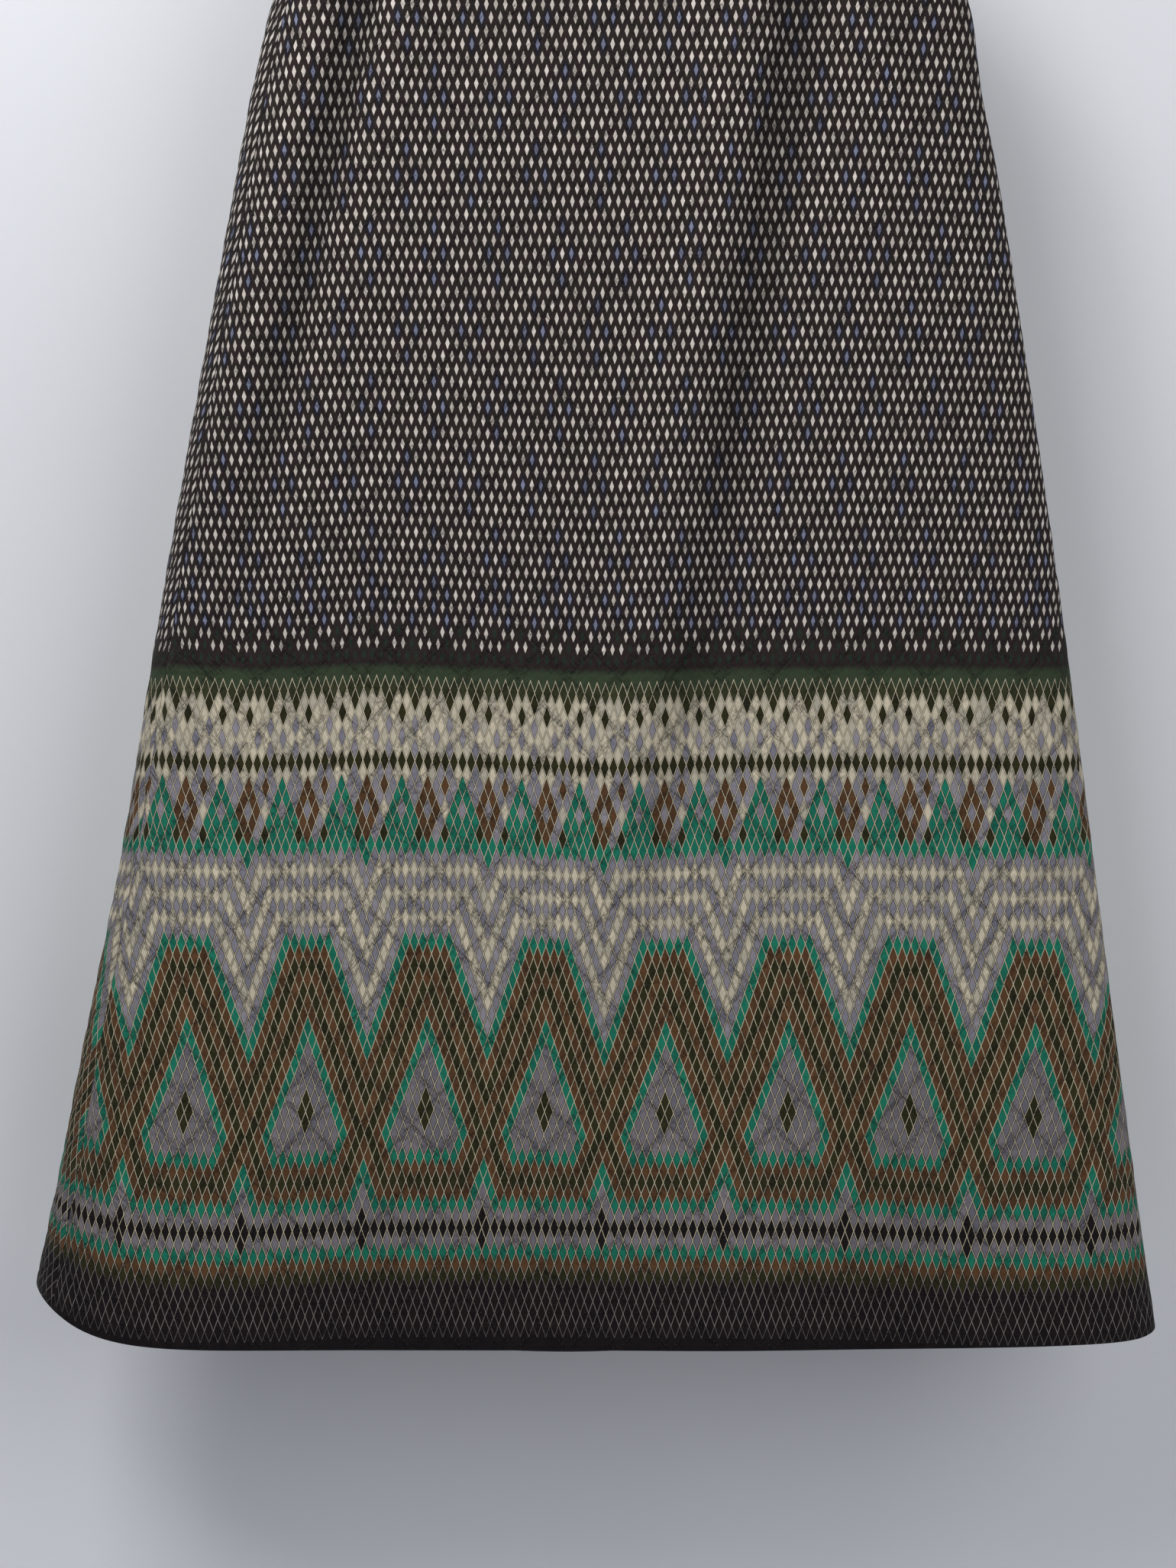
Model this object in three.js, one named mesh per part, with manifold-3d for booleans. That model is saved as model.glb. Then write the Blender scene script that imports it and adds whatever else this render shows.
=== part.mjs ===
// Quilted maxi skirt, hanging as a shallow hollow tube with its zip and button closed.
// Millimetres, +Z up. The front faces -Y and x runs to the viewer's right.
// The origin is the centre of the waist, level with the top edge of the waistband.

import * as THREE from 'three';
import Module from 'manifold-3d';
import { mergeVertices } from 'three/addons/utils/BufferGeometryUtils.js';

const wasm = await Module();
wasm.setup();

// Lengths down the skirt
const bandHeight = 30;
const skirtLength = 1040;
const seamGap = 0.3;

// Padded cloth and its quilting: a trellis of stitches with a raised diamond in each mesh
const clothThick = 2.4;
const puffRise = 2;
const puffLostAtLeft = { share: 0.5, reach: 30 };
const thickerAtBend = { left: 1.3, right: 0.8, reach: 30 };
const diamondWide = 34.4;
const halfRows = 54;
const endMargin = 0.35;
const sideSeamPoints = [3, 8];

// Waistband and its lap
const bandThick = 4;
const lapLength = 26;
const lapRamp = 30;
const bandSteps = 72;

// Zip in the centre back seam
const zipLength = 200;
const zipSlot = 6;
const chainWide = 4.6;
const chainBelowFace = 0.5;
const tapeWide = 28;
const tapeThick = 0.9;

// Slider, its bridge and the pull that hangs in it
const sliderWide = 8;
const sliderLong = 11;
const sliderThick = 2.4;
const sliderDown = 34.5;
const bridgeWide = 1.8;
const bridgeWall = 1;
const bridgeOpening = { long: 3.2, high: 2.6 };
const pullThick = 1.2;
const pullBar = 1.2;
const pullEye = 4;
const pullNeck = 5.2;
const pullTab = { wide: 7, long: 25 };
const pullHole = 1.5;

// Waist button
const buttonRadius = 8;
const buttonThick = 2.4;
const buttonRim = 0.4;
const buttonHole = { radius: 0.9, out: 1.7 };
const buttonAlongLap = -12;

// Outline: reach to each side and half depth to the front and back, at a distance down from the waist
const outline = [
  { down: 0, left: 182, right: 182, front: 30, back: 30 },
  { down: 30, left: 187, right: 187, front: 31, back: 31 },
  { down: 78, left: 215, right: 214, front: 35, back: 34 },
  { down: 130, left: 234.5, right: 238.5, front: 38, back: 37 },
  { down: 193, left: 249, right: 247.7, front: 41, back: 40 },
  { down: 255, left: 260.5, right: 259.5, front: 43, back: 42 },
  { down: 442, left: 293.6, right: 287.5, front: 48, back: 46 },
  { down: 567, left: 314.6, right: 304.7, front: 51, back: 49 },
  { down: 724, left: 339, right: 324.5, front: 54, back: 53 },
  { down: 849, left: 362.5, right: 340, front: 57, back: 56 },
  { down: 974, left: 384, right: 356.5, front: 59, back: 59 },
  { down: 1040, left: 396, right: 366, front: 60, back: 60 },
];
const leftBluntness = 8;
const rightBluntness = 2.8;
const leftSeamInset = 13;

// Soft folds let into the waistband. Each runs down from x = top to x = foot with a bend between,
// fades out at its end, and rises (or, below zero, sinks) by so much over its half width.
const folds = [
  { face: 'front', top: -178, foot: -300, bend: 0, start: 30, end: 600, half: 17, rise: 5 },
  { face: 'front', top: -150, foot: -282, bend: 0, start: 30, end: 640, half: 16, rise: -11 },
  { face: 'front', top: -128, foot: -245, bend: 0, start: 30, end: 640, half: 17, rise: 5 },
  { face: 'front', top: -112, foot: -126, bend: 0, start: 30, end: 270, half: 13, rise: -4 },
  { face: 'front', top: -44, foot: -52, bend: 0, start: 30, end: 240, half: 14, rise: -3 },
  { face: 'front', top: 96, foot: -82, bend: 10, start: 30, end: 960, half: 30, rise: 4 },
  { face: 'front', top: 137, foot: -30, bend: 10, start: 30, end: 960, half: 20, rise: -9 },
  { face: 'front', top: 172, foot: 206, bend: 4, start: 30, end: 290, half: 14, rise: -3 },
  { face: 'back', top: -118, foot: -176, bend: -8, start: 30, end: 540, half: 17, rise: -8 },
  { face: 'back', top: -88, foot: -138, bend: -12, start: 30, end: 500, half: 18, rise: 4 },
  { face: 'back', top: 108, foot: 152, bend: 6, start: 30, end: 430, half: 15, rise: -6 },
  { face: 'back', top: 134, foot: 196, bend: 6, start: 30, end: 460, half: 18, rise: 4 },
  { face: 'back', top: 162, foot: 246, bend: 0, start: 30, end: 330, half: 13, rise: -4 },
  { face: 'back', top: -36, foot: -70, bend: 0, start: 270, end: 800, half: 26, rise: -4 },
  { face: 'back', top: 44, foot: 28, bend: 8, start: 290, end: 740, half: 28, rise: 3 },
];
const foldOpening = 55;
const foldsFadeUnder = 0.6;

// Slow waves of the hem, and how far the hem leaves the level
const hemWave = { start: 660, length: 380, front: 1.8, back: 4 };
const leftRise = { height: 38, reach: 50, edge: 1.5, onset: 5 };
const rightRise = { height: 8, reach: 15 };
const backSag = { depth: 19, centre: -31, reach: 185 };

// Materials
const printCloth = new THREE.MeshStandardMaterial({ color: 0x6f6a63, roughness: 0.92, metalness: 0 });
const blackCloth = new THREE.MeshStandardMaterial({ color: 0x1a1517, roughness: 0.9, metalness: 0 });
const tapeCloth = new THREE.MeshStandardMaterial({ color: 0x17151a, roughness: 0.85, metalness: 0 });
const zipMetal = new THREE.MeshStandardMaterial({ color: 0x8d8a84, roughness: 0.35, metalness: 1 });
const buttonHorn = new THREE.MeshStandardMaterial({ color: 0x1c1719, roughness: 0.4, metalness: 0 });

const smooth = (t) => {
  const c = Math.min(1, Math.max(0, t));
  return c * c * (3 - 2 * c);
};

const mix = (a, b, t) => a + (b - a) * t;

// One column of the outline, as a smooth curve through its rows
function outlineColumn(column, k, down) {
  const slope = (row) => {
    const a = outline[Math.max(0, row - 1)];
    const b = outline[Math.min(outline.length - 1, row + 1)];
    return (b[column] - a[column]) / (b.down - a.down);
  };
  const above = outline[k - 1];
  const below = outline[k];
  const step = below.down - above.down;
  const t = (down - above.down) / step;
  const bend = (1 - t) * slope(k - 1) * step - t * slope(k) * step;
  const rise = below[column] - above[column];
  return above[column] + rise * t * t * (3 - 2 * t) + t * (1 - t) * bend;
}

function outlineAt(down) {
  let k = 1;
  while (k < outline.length - 1 && outline[k].down < down) k += 1;
  const size = {};
  for (const column of ['left', 'right', 'front', 'back']) size[column] = outlineColumn(column, k, down);
  return size;
}

// How far the cloth stands out of the plain section, by its folds and its hem's waves
function foldRise(face, x, down) {
  let rise = 0;
  for (const fold of folds) {
    const t = (down - fold.start) / (fold.end - fold.start);
    if (fold.face !== face || t <= 0 || t >= 1) continue;
    const centre = mix(fold.top, fold.foot, t) + fold.bend * 4 * t * (1 - t);
    const strength = smooth((down - fold.start) / foldOpening) * (1 - smooth(t)) ** 0.7;
    rise += fold.rise * strength * Math.exp(-(((x - centre) / fold.half) ** 2));
  }
  const wave = Math.sin(x / 52 + 0.6) + 0.5 * Math.sin(x / 29 - 1.1);
  return rise + hemWave[face] * wave * smooth((down - hemWave.start) / hemWave.length);
}

// A section of the tube: turn 0 is its left edge, 0.5 the centre front, 1 the right edge and 1.5 the
// centre back. Each sample has its place, its outward normal and the length of cloth up to it.
const samplesPerTurn = 240;
const sectionCache = new Map();

function plainPoint(turn, size) {
  const across = -Math.cos(Math.PI * turn);
  const blunt = across < 0 ? leftBluntness : rightBluntness;
  const bulge = Math.sqrt(Math.max(0, 1 - Math.abs(across) ** blunt));
  const onFront = ((turn % 2) + 2) % 2 < 1;
  const x = across * (across < 0 ? size.left : size.right);
  return { x, y: onFront ? -bulge * size.front : bulge * size.back, bulge, onFront };
}

function outwardOf(before, after) {
  const dx = after.x - before.x;
  const dy = after.y - before.y;
  const length = Math.hypot(dx, dy);
  return { x: dy / length, y: -dx / length };
}

function sectionAt(down) {
  const key = down.toFixed(3);
  if (sectionCache.has(key)) return sectionCache.get(key);
  const size = outlineAt(down);
  const first = -0.25;
  const last = 2.25;
  const count = Math.round((last - first) * samplesPerTurn);
  const turns = Array.from({ length: count + 1 }, (_, k) => first + (last - first) * (k / count));
  const plain = turns.map((turn) => plainPoint(turn, size));
  const folded = plain.map((point, k) => {
    const out = outwardOf(plain[Math.max(0, k - 1)], plain[Math.min(count, k + 1)]);
    const fromEdge = smooth(point.bulge / foldsFadeUnder);
    const rise = fromEdge * foldRise(point.onFront ? 'front' : 'back', point.x, down);
    return { x: point.x + out.x * rise, y: point.y + out.y * rise };
  });
  const samples = [];
  let length = 0;
  folded.forEach((point, k) => {
    if (k > 0) length += Math.hypot(point.x - folded[k - 1].x, point.y - folded[k - 1].y);
    const out = outwardOf(folded[Math.max(0, k - 1)], folded[Math.min(count, k + 1)]);
    samples.push({ turn: turns[k], x: point.x, y: point.y, outX: out.x, outY: out.y, along: length });
  });
  sectionCache.set(key, samples);
  return samples;
}

function sampleBy(down, column, value) {
  const samples = sectionAt(down);
  let low = 0;
  let high = samples.length - 1;
  while (high - low > 1) {
    const middle = (low + high) >> 1;
    if (samples[middle][column] <= value) low = middle;
    else high = middle;
  }
  const a = samples[low];
  const b = samples[high];
  const t = (value - a[column]) / (b[column] - a[column]);
  const result = {};
  for (const name of Object.keys(a)) result[name] = mix(a[name], b[name], t);
  return result;
}

const alongAtTurn = (down, turn) => sampleBy(down, 'turn', turn).along;

const fromLeftEdge = (down, along) => Math.min(
  Math.abs(along - alongAtTurn(down, 0)),
  Math.abs(along - alongAtTurn(down, 2)),
);

// Height of a point of the cloth: its distance down, with the risen corners and the sagging back
function heightAt(down, sample) {
  const share = Math.max(0, (down - topDown) / (skirtLength - topDown));
  const fromLeft = fromLeftEdge(down, sample.along);
  const fromRight = Math.abs(sample.along - alongAtTurn(down, 1));
  const near = Math.exp(-((fromLeft / leftRise.reach) ** leftRise.edge));
  let lift = leftRise.height * near * share ** leftRise.onset;
  lift += rightRise.height * share * Math.exp(-fromRight / rightRise.reach);
  if (sample.turn > 1 && sample.turn < 2) {
    lift -= backSag.depth * share ** 2 * Math.exp(-(((sample.x - backSag.centre) / backSag.reach) ** 2));
  }
  return -down + lift;
}

// Point of the cloth at a length along its section, moved out of its stitched face by `out`
function clothPoint(down, along, out) {
  const sample = sampleBy(down, 'along', along);
  return new THREE.Vector3(
    sample.x + sample.outX * out,
    sample.y + sample.outY * out,
    heightAt(down, sample),
  );
}

// Mesh being built: shared points and outward triangles
class Skin {
  constructor() {
    this.points = [];
    this.faces = [];
  }

  point(position) {
    this.points.push(position.x, position.y, position.z);
    return this.points.length / 3 - 1;
  }

  // Fills between two rows of { index, key }, the first above the second when seen from outside
  fill(above, below) {
    let i = 0;
    let j = 0;
    while (i < above.length - 1 || j < below.length - 1) {
      const nextAbove = i < above.length - 1 ? above[i + 1].key : Infinity;
      const nextBelow = j < below.length - 1 ? below[j + 1].key : Infinity;
      if (nextAbove <= nextBelow) {
        this.faces.push(above[i].index, below[j].index, above[i + 1].index);
        i += 1;
      } else {
        this.faces.push(above[i].index, below[j].index, below[j + 1].index);
        j += 1;
      }
    }
  }

  geometry() {
    const geometry = new THREE.BufferGeometry();
    geometry.setAttribute('position', new THREE.Float32BufferAttribute(this.points, 3));
    geometry.setIndex(this.faces);
    geometry.computeVertexNormals();
    return geometry;
  }
}

// Seams, as the length along the section at which each panel stops
const seams = {
  right: (down) => alongAtTurn(down, 1),
  back: (down) => alongAtTurn(down, 1.5),
  left: (down) => alongAtTurn(down, leftSeamTurn(down)),
  leftFromBack: (down) => alongAtTurn(down, 2 + leftSeamTurn(down)),
};

function leftSeamTurn(down) {
  return Math.acos(1 - leftSeamInset / outlineAt(down).left) / Math.PI;
}

const halfSeam = () => seamGap / 2;

// Rows of the quilting grid, from just under the waistband to the hem. Crossings of the stitches and
// centres of the diamonds take turns along each row.
const halfWide = diamondWide / 2;
const topDown = bandHeight + seamGap;
const rowDown = (row) => mix(topDown, skirtLength, row / halfRows);

// Half of the opening between the two back panels: wide along the zip, then a plain seam. It narrows
// over two rows, which are one row of the inner face.
const rowHeight = rowDown(1) - rowDown(0);
const slotEnd = topDown + 2 * rowHeight * Math.ceil(zipLength / (2 * rowHeight));

function halfBackGap(down) {
  return mix(zipSlot / 2, seamGap / 2, smooth((down - slotEnd) / (2 * rowHeight)));
}

// Inner face: plain, with its rows closer together at the hips and along the folds
const insideRows = [];
for (let row = 0; row < halfRows; row += insideStep(row)) insideRows.push(row);
insideRows.push(halfRows);

function insideStep(row) {
  if (row < 4) return 1;
  return row < halfRows / 2 ? 2 : 4;
}

// Rise of a diamond's centre: less where the cloth is bent tight round the left edge
function puffAt(down, along) {
  const near = Math.exp(-((fromLeftEdge(down, along) / puffLostAtLeft.reach) ** 2));
  return puffRise * (1 - puffLostAtLeft.share * near);
}

// Thickness at the stitches: the wadding bunches where the cloth turns round either edge
function thickAt(down, along) {
  const { left, right, reach } = thickerAtBend;
  const nearLeft = Math.exp(-((fromLeftEdge(down, along) / reach) ** 2));
  const nearRight = Math.exp(-(((along - alongAtTurn(down, 1)) / reach) ** 2));
  return clothThick + left * nearLeft + right * nearRight;
}

// A quilted wall between two seams. `from` and `to` give each seam and its half gap, `zero` the line
// that the quilting is measured from. A seam on the sharp right edge has more points close to it.
function quiltedPanel({ from, to, zero, insideColumns }) {
  const skin = new Skin();
  const span = (down) => ({
    start: from.seam(down) + from.gap(down),
    stop: to.seam(down) - to.gap(down),
    zero: zero(down),
  });

  const outside = [];
  for (let row = 0; row <= halfRows; row += 1) {
    const down = rowDown(row);
    const { start, stop, zero: middle } = span(down);
    const firstColumn = Math.ceil((start - middle) / halfWide + endMargin);
    const lastColumn = Math.floor((stop - middle) / halfWide - endMargin);
    const atEdge = row === 0 || row === halfRows;
    const flatPoint = (along) => ({
      key: along - middle,
      index: skin.point(clothPoint(down, along, 0)),
    });
    const line = [flatPoint(start)];
    for (const past of from.close ? sideSeamPoints : []) {
      if (start + past < middle + (firstColumn - endMargin) * halfWide) line.push(flatPoint(start + past));
    }
    for (let column = firstColumn; column <= lastColumn; column += 1) {
      const along = middle + column * halfWide;
      const raised = (column + row) % 2 !== 0 && !atEdge;
      const position = clothPoint(down, along, raised ? puffAt(down, along) : 0);
      line.push({ key: column * halfWide, column, index: skin.point(position) });
    }
    for (const short of to.close ? sideSeamPoints.toReversed() : []) {
      if (stop - short > middle + (lastColumn + endMargin) * halfWide) line.push(flatPoint(stop - short));
    }
    line.push(flatPoint(stop));
    outside.push(line);
  }

  for (let row = 0; row < halfRows; row += 1) {
    const above = outside[row];
    const below = outside[row + 1];
    const placeOf = (line, column) => line.findIndex((entry) => entry.column === column);
    const columns = above.map((entry) => entry.column).filter((column) => placeOf(below, column) >= 0);
    const shared = columns.filter((column) => column !== undefined);
    const first = shared[0];
    const last = shared.at(-1);
    skin.fill(above.slice(0, placeOf(above, first) + 1), below.slice(0, placeOf(below, first) + 1));
    for (let column = first; column < last; column += 1) {
      const a = above[placeOf(above, column)].index;
      const b = above[placeOf(above, column + 1)].index;
      const c = below[placeOf(below, column + 1)].index;
      const d = below[placeOf(below, column)].index;
      if ((column + row) % 2 === 0) skin.faces.push(a, d, c, a, c, b);
      else skin.faces.push(a, d, b, b, d, c);
    }
    skin.fill(above.slice(placeOf(above, last)), below.slice(placeOf(below, last)));
  }

  const inside = insideRows.map((row) => {
    const down = rowDown(row);
    const { start, stop } = span(down);
    return Array.from({ length: insideColumns + 1 }, (_, k) => {
      const along = mix(start, stop, k / insideColumns);
      const position = clothPoint(down, along, -thickAt(down, along));
      return { key: k / insideColumns, index: skin.point(position) };
    });
  });
  for (let k = 0; k < inside.length - 1; k += 1) skin.fill(inside[k + 1], inside[k]);

  return { skin, outside, inside };
}

// Closes a wall round its four edges. The inside's rows count as a little later than the outside's,
// so that the two walls that meet at a seam split their edges alike.
function closeEdges({ skin, outside, inside }) {
  const share = (line) => {
    const first = line[0].key;
    const all = line.at(-1).key - first;
    return line.map((entry) => ({ index: entry.index, key: (entry.key - first) / all }));
  };
  const edge = (lines, rows, end) => lines.map((line, k) => ({ index: line.at(end).index, key: rows[k] }));
  const outsideRows = outside.map((_, row) => row);
  const laterRows = insideRows.map((row) => row + 0.1);
  skin.fill(share(inside[0]), share(outside[0]));
  skin.fill(share(outside.at(-1)), share(inside.at(-1)));
  skin.fill(edge(outside, outsideRows, 0), edge(inside, laterRows, 0));
  skin.fill(edge(inside, laterRows, -1), edge(outside, outsideRows, -1));
  return skin.geometry();
}

// Solid through loops of equal count, with flat ends. `profile` is the loop's own flat outline.
function loft(loops, profile) {
  const skin = new Skin();
  const rings = loops.map((loop) => loop.map((position) => skin.point(position)));
  const count = profile.length;
  for (let k = 0; k < rings.length - 1; k += 1) {
    for (let m = 0; m < count; m += 1) {
      const next = (m + 1) % count;
      skin.faces.push(rings[k][m], rings[k][next], rings[k + 1][next]);
      skin.faces.push(rings[k][m], rings[k + 1][next], rings[k + 1][m]);
    }
  }
  const flat = THREE.ShapeUtils.triangulateShape(profile, []);
  for (const [a, b, c] of flat) {
    skin.faces.push(rings[0][c], rings[0][b], rings[0][a]);
    skin.faces.push(rings.at(-1)[a], rings.at(-1)[b], rings.at(-1)[c]);
  }
  return skin.geometry();
}

const named = (name, geometry, material) => {
  const mesh = new THREE.Mesh(geometry, material);
  mesh.name = name;
  return mesh;
};

// Waistband: from its under end at the centre back, round the waist, and over that end again
const lapStep = bandThick + seamGap;
const bandFace = -clothThick;

function bandOut(past, whole) {
  return lapStep * smooth((past - (whole - lapRamp)) / (lapRamp - 2));
}

function waistband() {
  const profile = [
    new THREE.Vector2(0, 0),
    new THREE.Vector2(bandThick, 0),
    new THREE.Vector2(bandThick, bandHeight),
    new THREE.Vector2(0, bandHeight),
  ];
  const whole = alongAtTurn(0, 2) - alongAtTurn(0, 0);
  const total = whole + lapLength;
  const loops = [];
  for (let k = bandSteps; k >= 0; k -= 1) {
    const past = total * (k / bandSteps);
    const out = bandFace + bandOut(past, whole);
    loops.push(profile.map((corner) => bandPoint(corner.y, past / whole, out + corner.x)));
  }
  return loft(loops, profile);
}

// Point on the waistband: `turns` counts whole rounds from the centre back
function bandPoint(down, turns, out) {
  const back = alongAtTurn(down, 1.5);
  const whole = alongAtTurn(down, 2) - alongAtTurn(down, 0);
  const right = alongAtTurn(down, 0) - alongAtTurn(down, -0.25);
  const low = alongAtTurn(down, -0.25);
  let along = back - turns * whole;
  while (along < low + right / 2) along += whole;
  while (along > low + right / 2 + whole) along -= whole;
  const sample = sampleBy(down, 'along', along);
  return new THREE.Vector3(sample.x + sample.outX * out, sample.y + sample.outY * out, -down);
}

// Zip: a tape behind the cloth with its chain standing in the slot
function zipTape() {
  const tapeFace = -clothThick - seamGap;
  const halfTape = tapeWide / 2;
  const halfChain = chainWide / 2;
  const corners = [
    [-halfTape, tapeFace - tapeThick],
    [halfTape, tapeFace - tapeThick],
    [halfTape, tapeFace],
    [halfChain, tapeFace],
    [halfChain, -chainBelowFace],
    [-halfChain, -chainBelowFace],
    [-halfChain, tapeFace],
    [-halfTape, tapeFace],
  ];
  const profile = corners.map(([across, out]) => new THREE.Vector2(across, out));
  const steps = 10;
  const loops = [];
  for (let k = 0; k <= steps; k += 1) {
    const down = mix(topDown, bandHeight + zipLength, k / steps);
    const back = seams.back(down);
    loops.push(profile.map((corner) => clothPoint(down, back + corner.x, corner.y)));
  }
  return loft(loops, profile);
}

// Closed geometry to solid and back, for the pieces joined or cut from simple ones
function toSolid(geometry) {
  const bare = geometry.clone();
  bare.deleteAttribute('normal');
  bare.deleteAttribute('uv');
  const merged = mergeVertices(bare, 1e-4);
  return new wasm.Manifold(new wasm.Mesh({
    numProp: 3,
    vertProperties: new Float32Array(merged.attributes.position.array),
    triVerts: new Uint32Array(merged.index.array),
  }));
}

function toGeometry(solid) {
  const mesh = solid.getMesh();
  const geometry = new THREE.BufferGeometry();
  geometry.setAttribute('position', new THREE.Float32BufferAttribute(mesh.vertProperties, 3));
  geometry.setIndex(Array.from(mesh.triVerts));
  geometry.computeVertexNormals();
  return geometry;
}

function roundedBox(wide, long, radius) {
  const shape = new THREE.Shape();
  const w = wide / 2 - radius;
  const l = long / 2 - radius;
  shape.absarc(w, l, radius, 0, Math.PI / 2);
  shape.absarc(-w, l, radius, Math.PI / 2, Math.PI);
  shape.absarc(-w, -l, radius, Math.PI, Math.PI * 1.5);
  shape.absarc(w, -l, radius, Math.PI * 1.5, Math.PI * 2);
  return shape;
}

// Slider and pull share a frame: x across, y up the zip, z out of the cloth, z = 0 on its face
const barHeight = seamGap + sliderThick + bridgeOpening.high / 2;
const barUp = 1.5;

function zipSlider() {
  const body = new THREE.ExtrudeGeometry(roundedBox(sliderWide, sliderLong, 2.2), {
    depth: sliderThick, bevelEnabled: false, curveSegments: 5,
  });
  body.translate(0, 0, seamGap);
  const sunk = 0.5;
  const outer = roundedBox(
    bridgeOpening.long + 2 * bridgeWall,
    bridgeOpening.high + bridgeWall + sunk,
    0.8,
  );
  const bridge = new THREE.ExtrudeGeometry(outer, {
    depth: bridgeWide, bevelEnabled: false, curveSegments: 4,
  });
  bridge.translate(0, (bridgeOpening.high + bridgeWall - sunk) / 2, -bridgeWide / 2);
  bridge.rotateX(Math.PI / 2);
  bridge.rotateZ(Math.PI / 2);
  bridge.translate(0, barUp, seamGap + sliderThick);
  const opening = new THREE.BoxGeometry(bridgeWide * 2, bridgeOpening.long, bridgeOpening.high);
  opening.translate(0, barUp, barHeight);
  return toGeometry(toSolid(body).add(toSolid(bridge)).subtract(toSolid(opening)));
}

function zipPull() {
  const halfEye = bridgeWide / 2 + 0.5;
  const halfBar = halfEye + pullBar;
  const halfTab = pullTab.wide / 2;
  const top = pullBar / 2;
  const foot = top - pullTab.long;
  const shape = new THREE.Shape();
  shape.moveTo(-halfBar, top);
  shape.lineTo(-halfBar, -pullEye - 0.6);
  shape.lineTo(-halfBar + 0.5, -pullNeck - 0.8);
  shape.lineTo(-halfTab, -pullNeck - 3.6);
  shape.absarc(0, foot + halfTab, halfTab, Math.PI, Math.PI * 2);
  shape.lineTo(halfTab, -pullNeck - 3.6);
  shape.lineTo(halfBar - 0.5, -pullNeck - 0.8);
  shape.lineTo(halfBar, -pullEye - 0.6);
  shape.lineTo(halfBar, top);
  const eye = new THREE.Path();
  eye.moveTo(-halfEye, -top);
  eye.lineTo(halfEye, -top);
  eye.lineTo(halfEye, -pullEye);
  eye.lineTo(-halfEye, -pullEye);
  const hole = new THREE.Path();
  hole.absarc(0, foot + halfTab, pullHole, 0, Math.PI * 2);
  shape.holes.push(eye, hole);
  const tab = new THREE.ExtrudeGeometry(shape, {
    depth: pullThick, bevelEnabled: false, curveSegments: 10,
  });
  tab.translate(0, 0, -pullThick / 2);
  return tab;
}

function circle(centreX, centreY, radius, count) {
  return Array.from({ length: count }, (_, k) => {
    const angle = (2 * Math.PI * k) / count;
    return new THREE.Vector2(centreX + radius * Math.cos(angle), centreY + radius * Math.sin(angle));
  });
}

function waistButton() {
  const shape = new THREE.Shape(circle(0, 0, buttonRadius - buttonRim, 28));
  for (const [sideX, sideY] of [[1, 1], [1, -1], [-1, 1], [-1, -1]]) {
    const hole = circle(sideX * buttonHole.out, sideY * buttonHole.out, buttonHole.radius + buttonRim, 8);
    shape.holes.push(new THREE.Path(hole));
  }
  const disc = new THREE.ExtrudeGeometry(shape, {
    depth: buttonThick - 2 * buttonRim,
    bevelEnabled: true,
    bevelSize: buttonRim,
    bevelThickness: buttonRim,
    bevelSegments: 1,
  });
  disc.translate(0, 0, buttonRim);
  return disc;
}

// Group whose z axis points out of the back of the skirt and whose y axis runs up it
function onBack(across, down, out) {
  const point = (at) => clothPoint(at, seams.back(at) + across, out);
  const place = point(down);
  const up = point(down - 5).sub(point(down + 5)).normalize();
  const right = new THREE.Vector3(-1, 0, 0);
  const outward = new THREE.Vector3().crossVectors(right, up).normalize();
  const group = new THREE.Group();
  group.matrix.makeBasis(right, up, outward).setPosition(place);
  group.matrix.decompose(group.position, group.quaternion, group.scale);
  return group;
}

const skirt = new THREE.Group();

const panels = [
  {
    name: 'front_panel',
    from: { seam: seams.left, gap: halfSeam },
    to: { seam: seams.right, gap: halfSeam, close: true },
    zero: (down) => alongAtTurn(down, 0.5),
    insideColumns: 30,
  },
  {
    name: 'back_left_panel',
    from: { seam: seams.right, gap: halfSeam, close: true },
    to: { seam: seams.back, gap: halfBackGap },
    zero: seams.back,
    insideColumns: 16,
  },
  {
    name: 'back_right_panel',
    from: { seam: seams.back, gap: halfBackGap },
    to: { seam: seams.leftFromBack, gap: halfSeam },
    zero: seams.back,
    insideColumns: 17,
  },
];
for (const panel of panels) skirt.add(named(panel.name, closeEdges(quiltedPanel(panel)), printCloth));

skirt.add(named('waistband', waistband(), blackCloth));
skirt.add(named('zip_tape', zipTape(), tapeCloth));

const zipHead = onBack(0, sliderDown + sliderLong / 2, 0);
zipHead.add(named('zip_slider', zipSlider(), zipMetal));
const pull = named('zip_pull', zipPull(), zipMetal);
pull.position.set(0, barUp, barHeight);
zipHead.add(pull);
skirt.add(zipHead);

const lapFace = bandFace + lapStep + bandThick + seamGap;
const buttonSeat = onBack(buttonAlongLap, bandHeight / 2, lapFace);
buttonSeat.add(named('waist_button', waistButton(), buttonHorn));
skirt.add(buttonSeat);

export default skirt;
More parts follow.
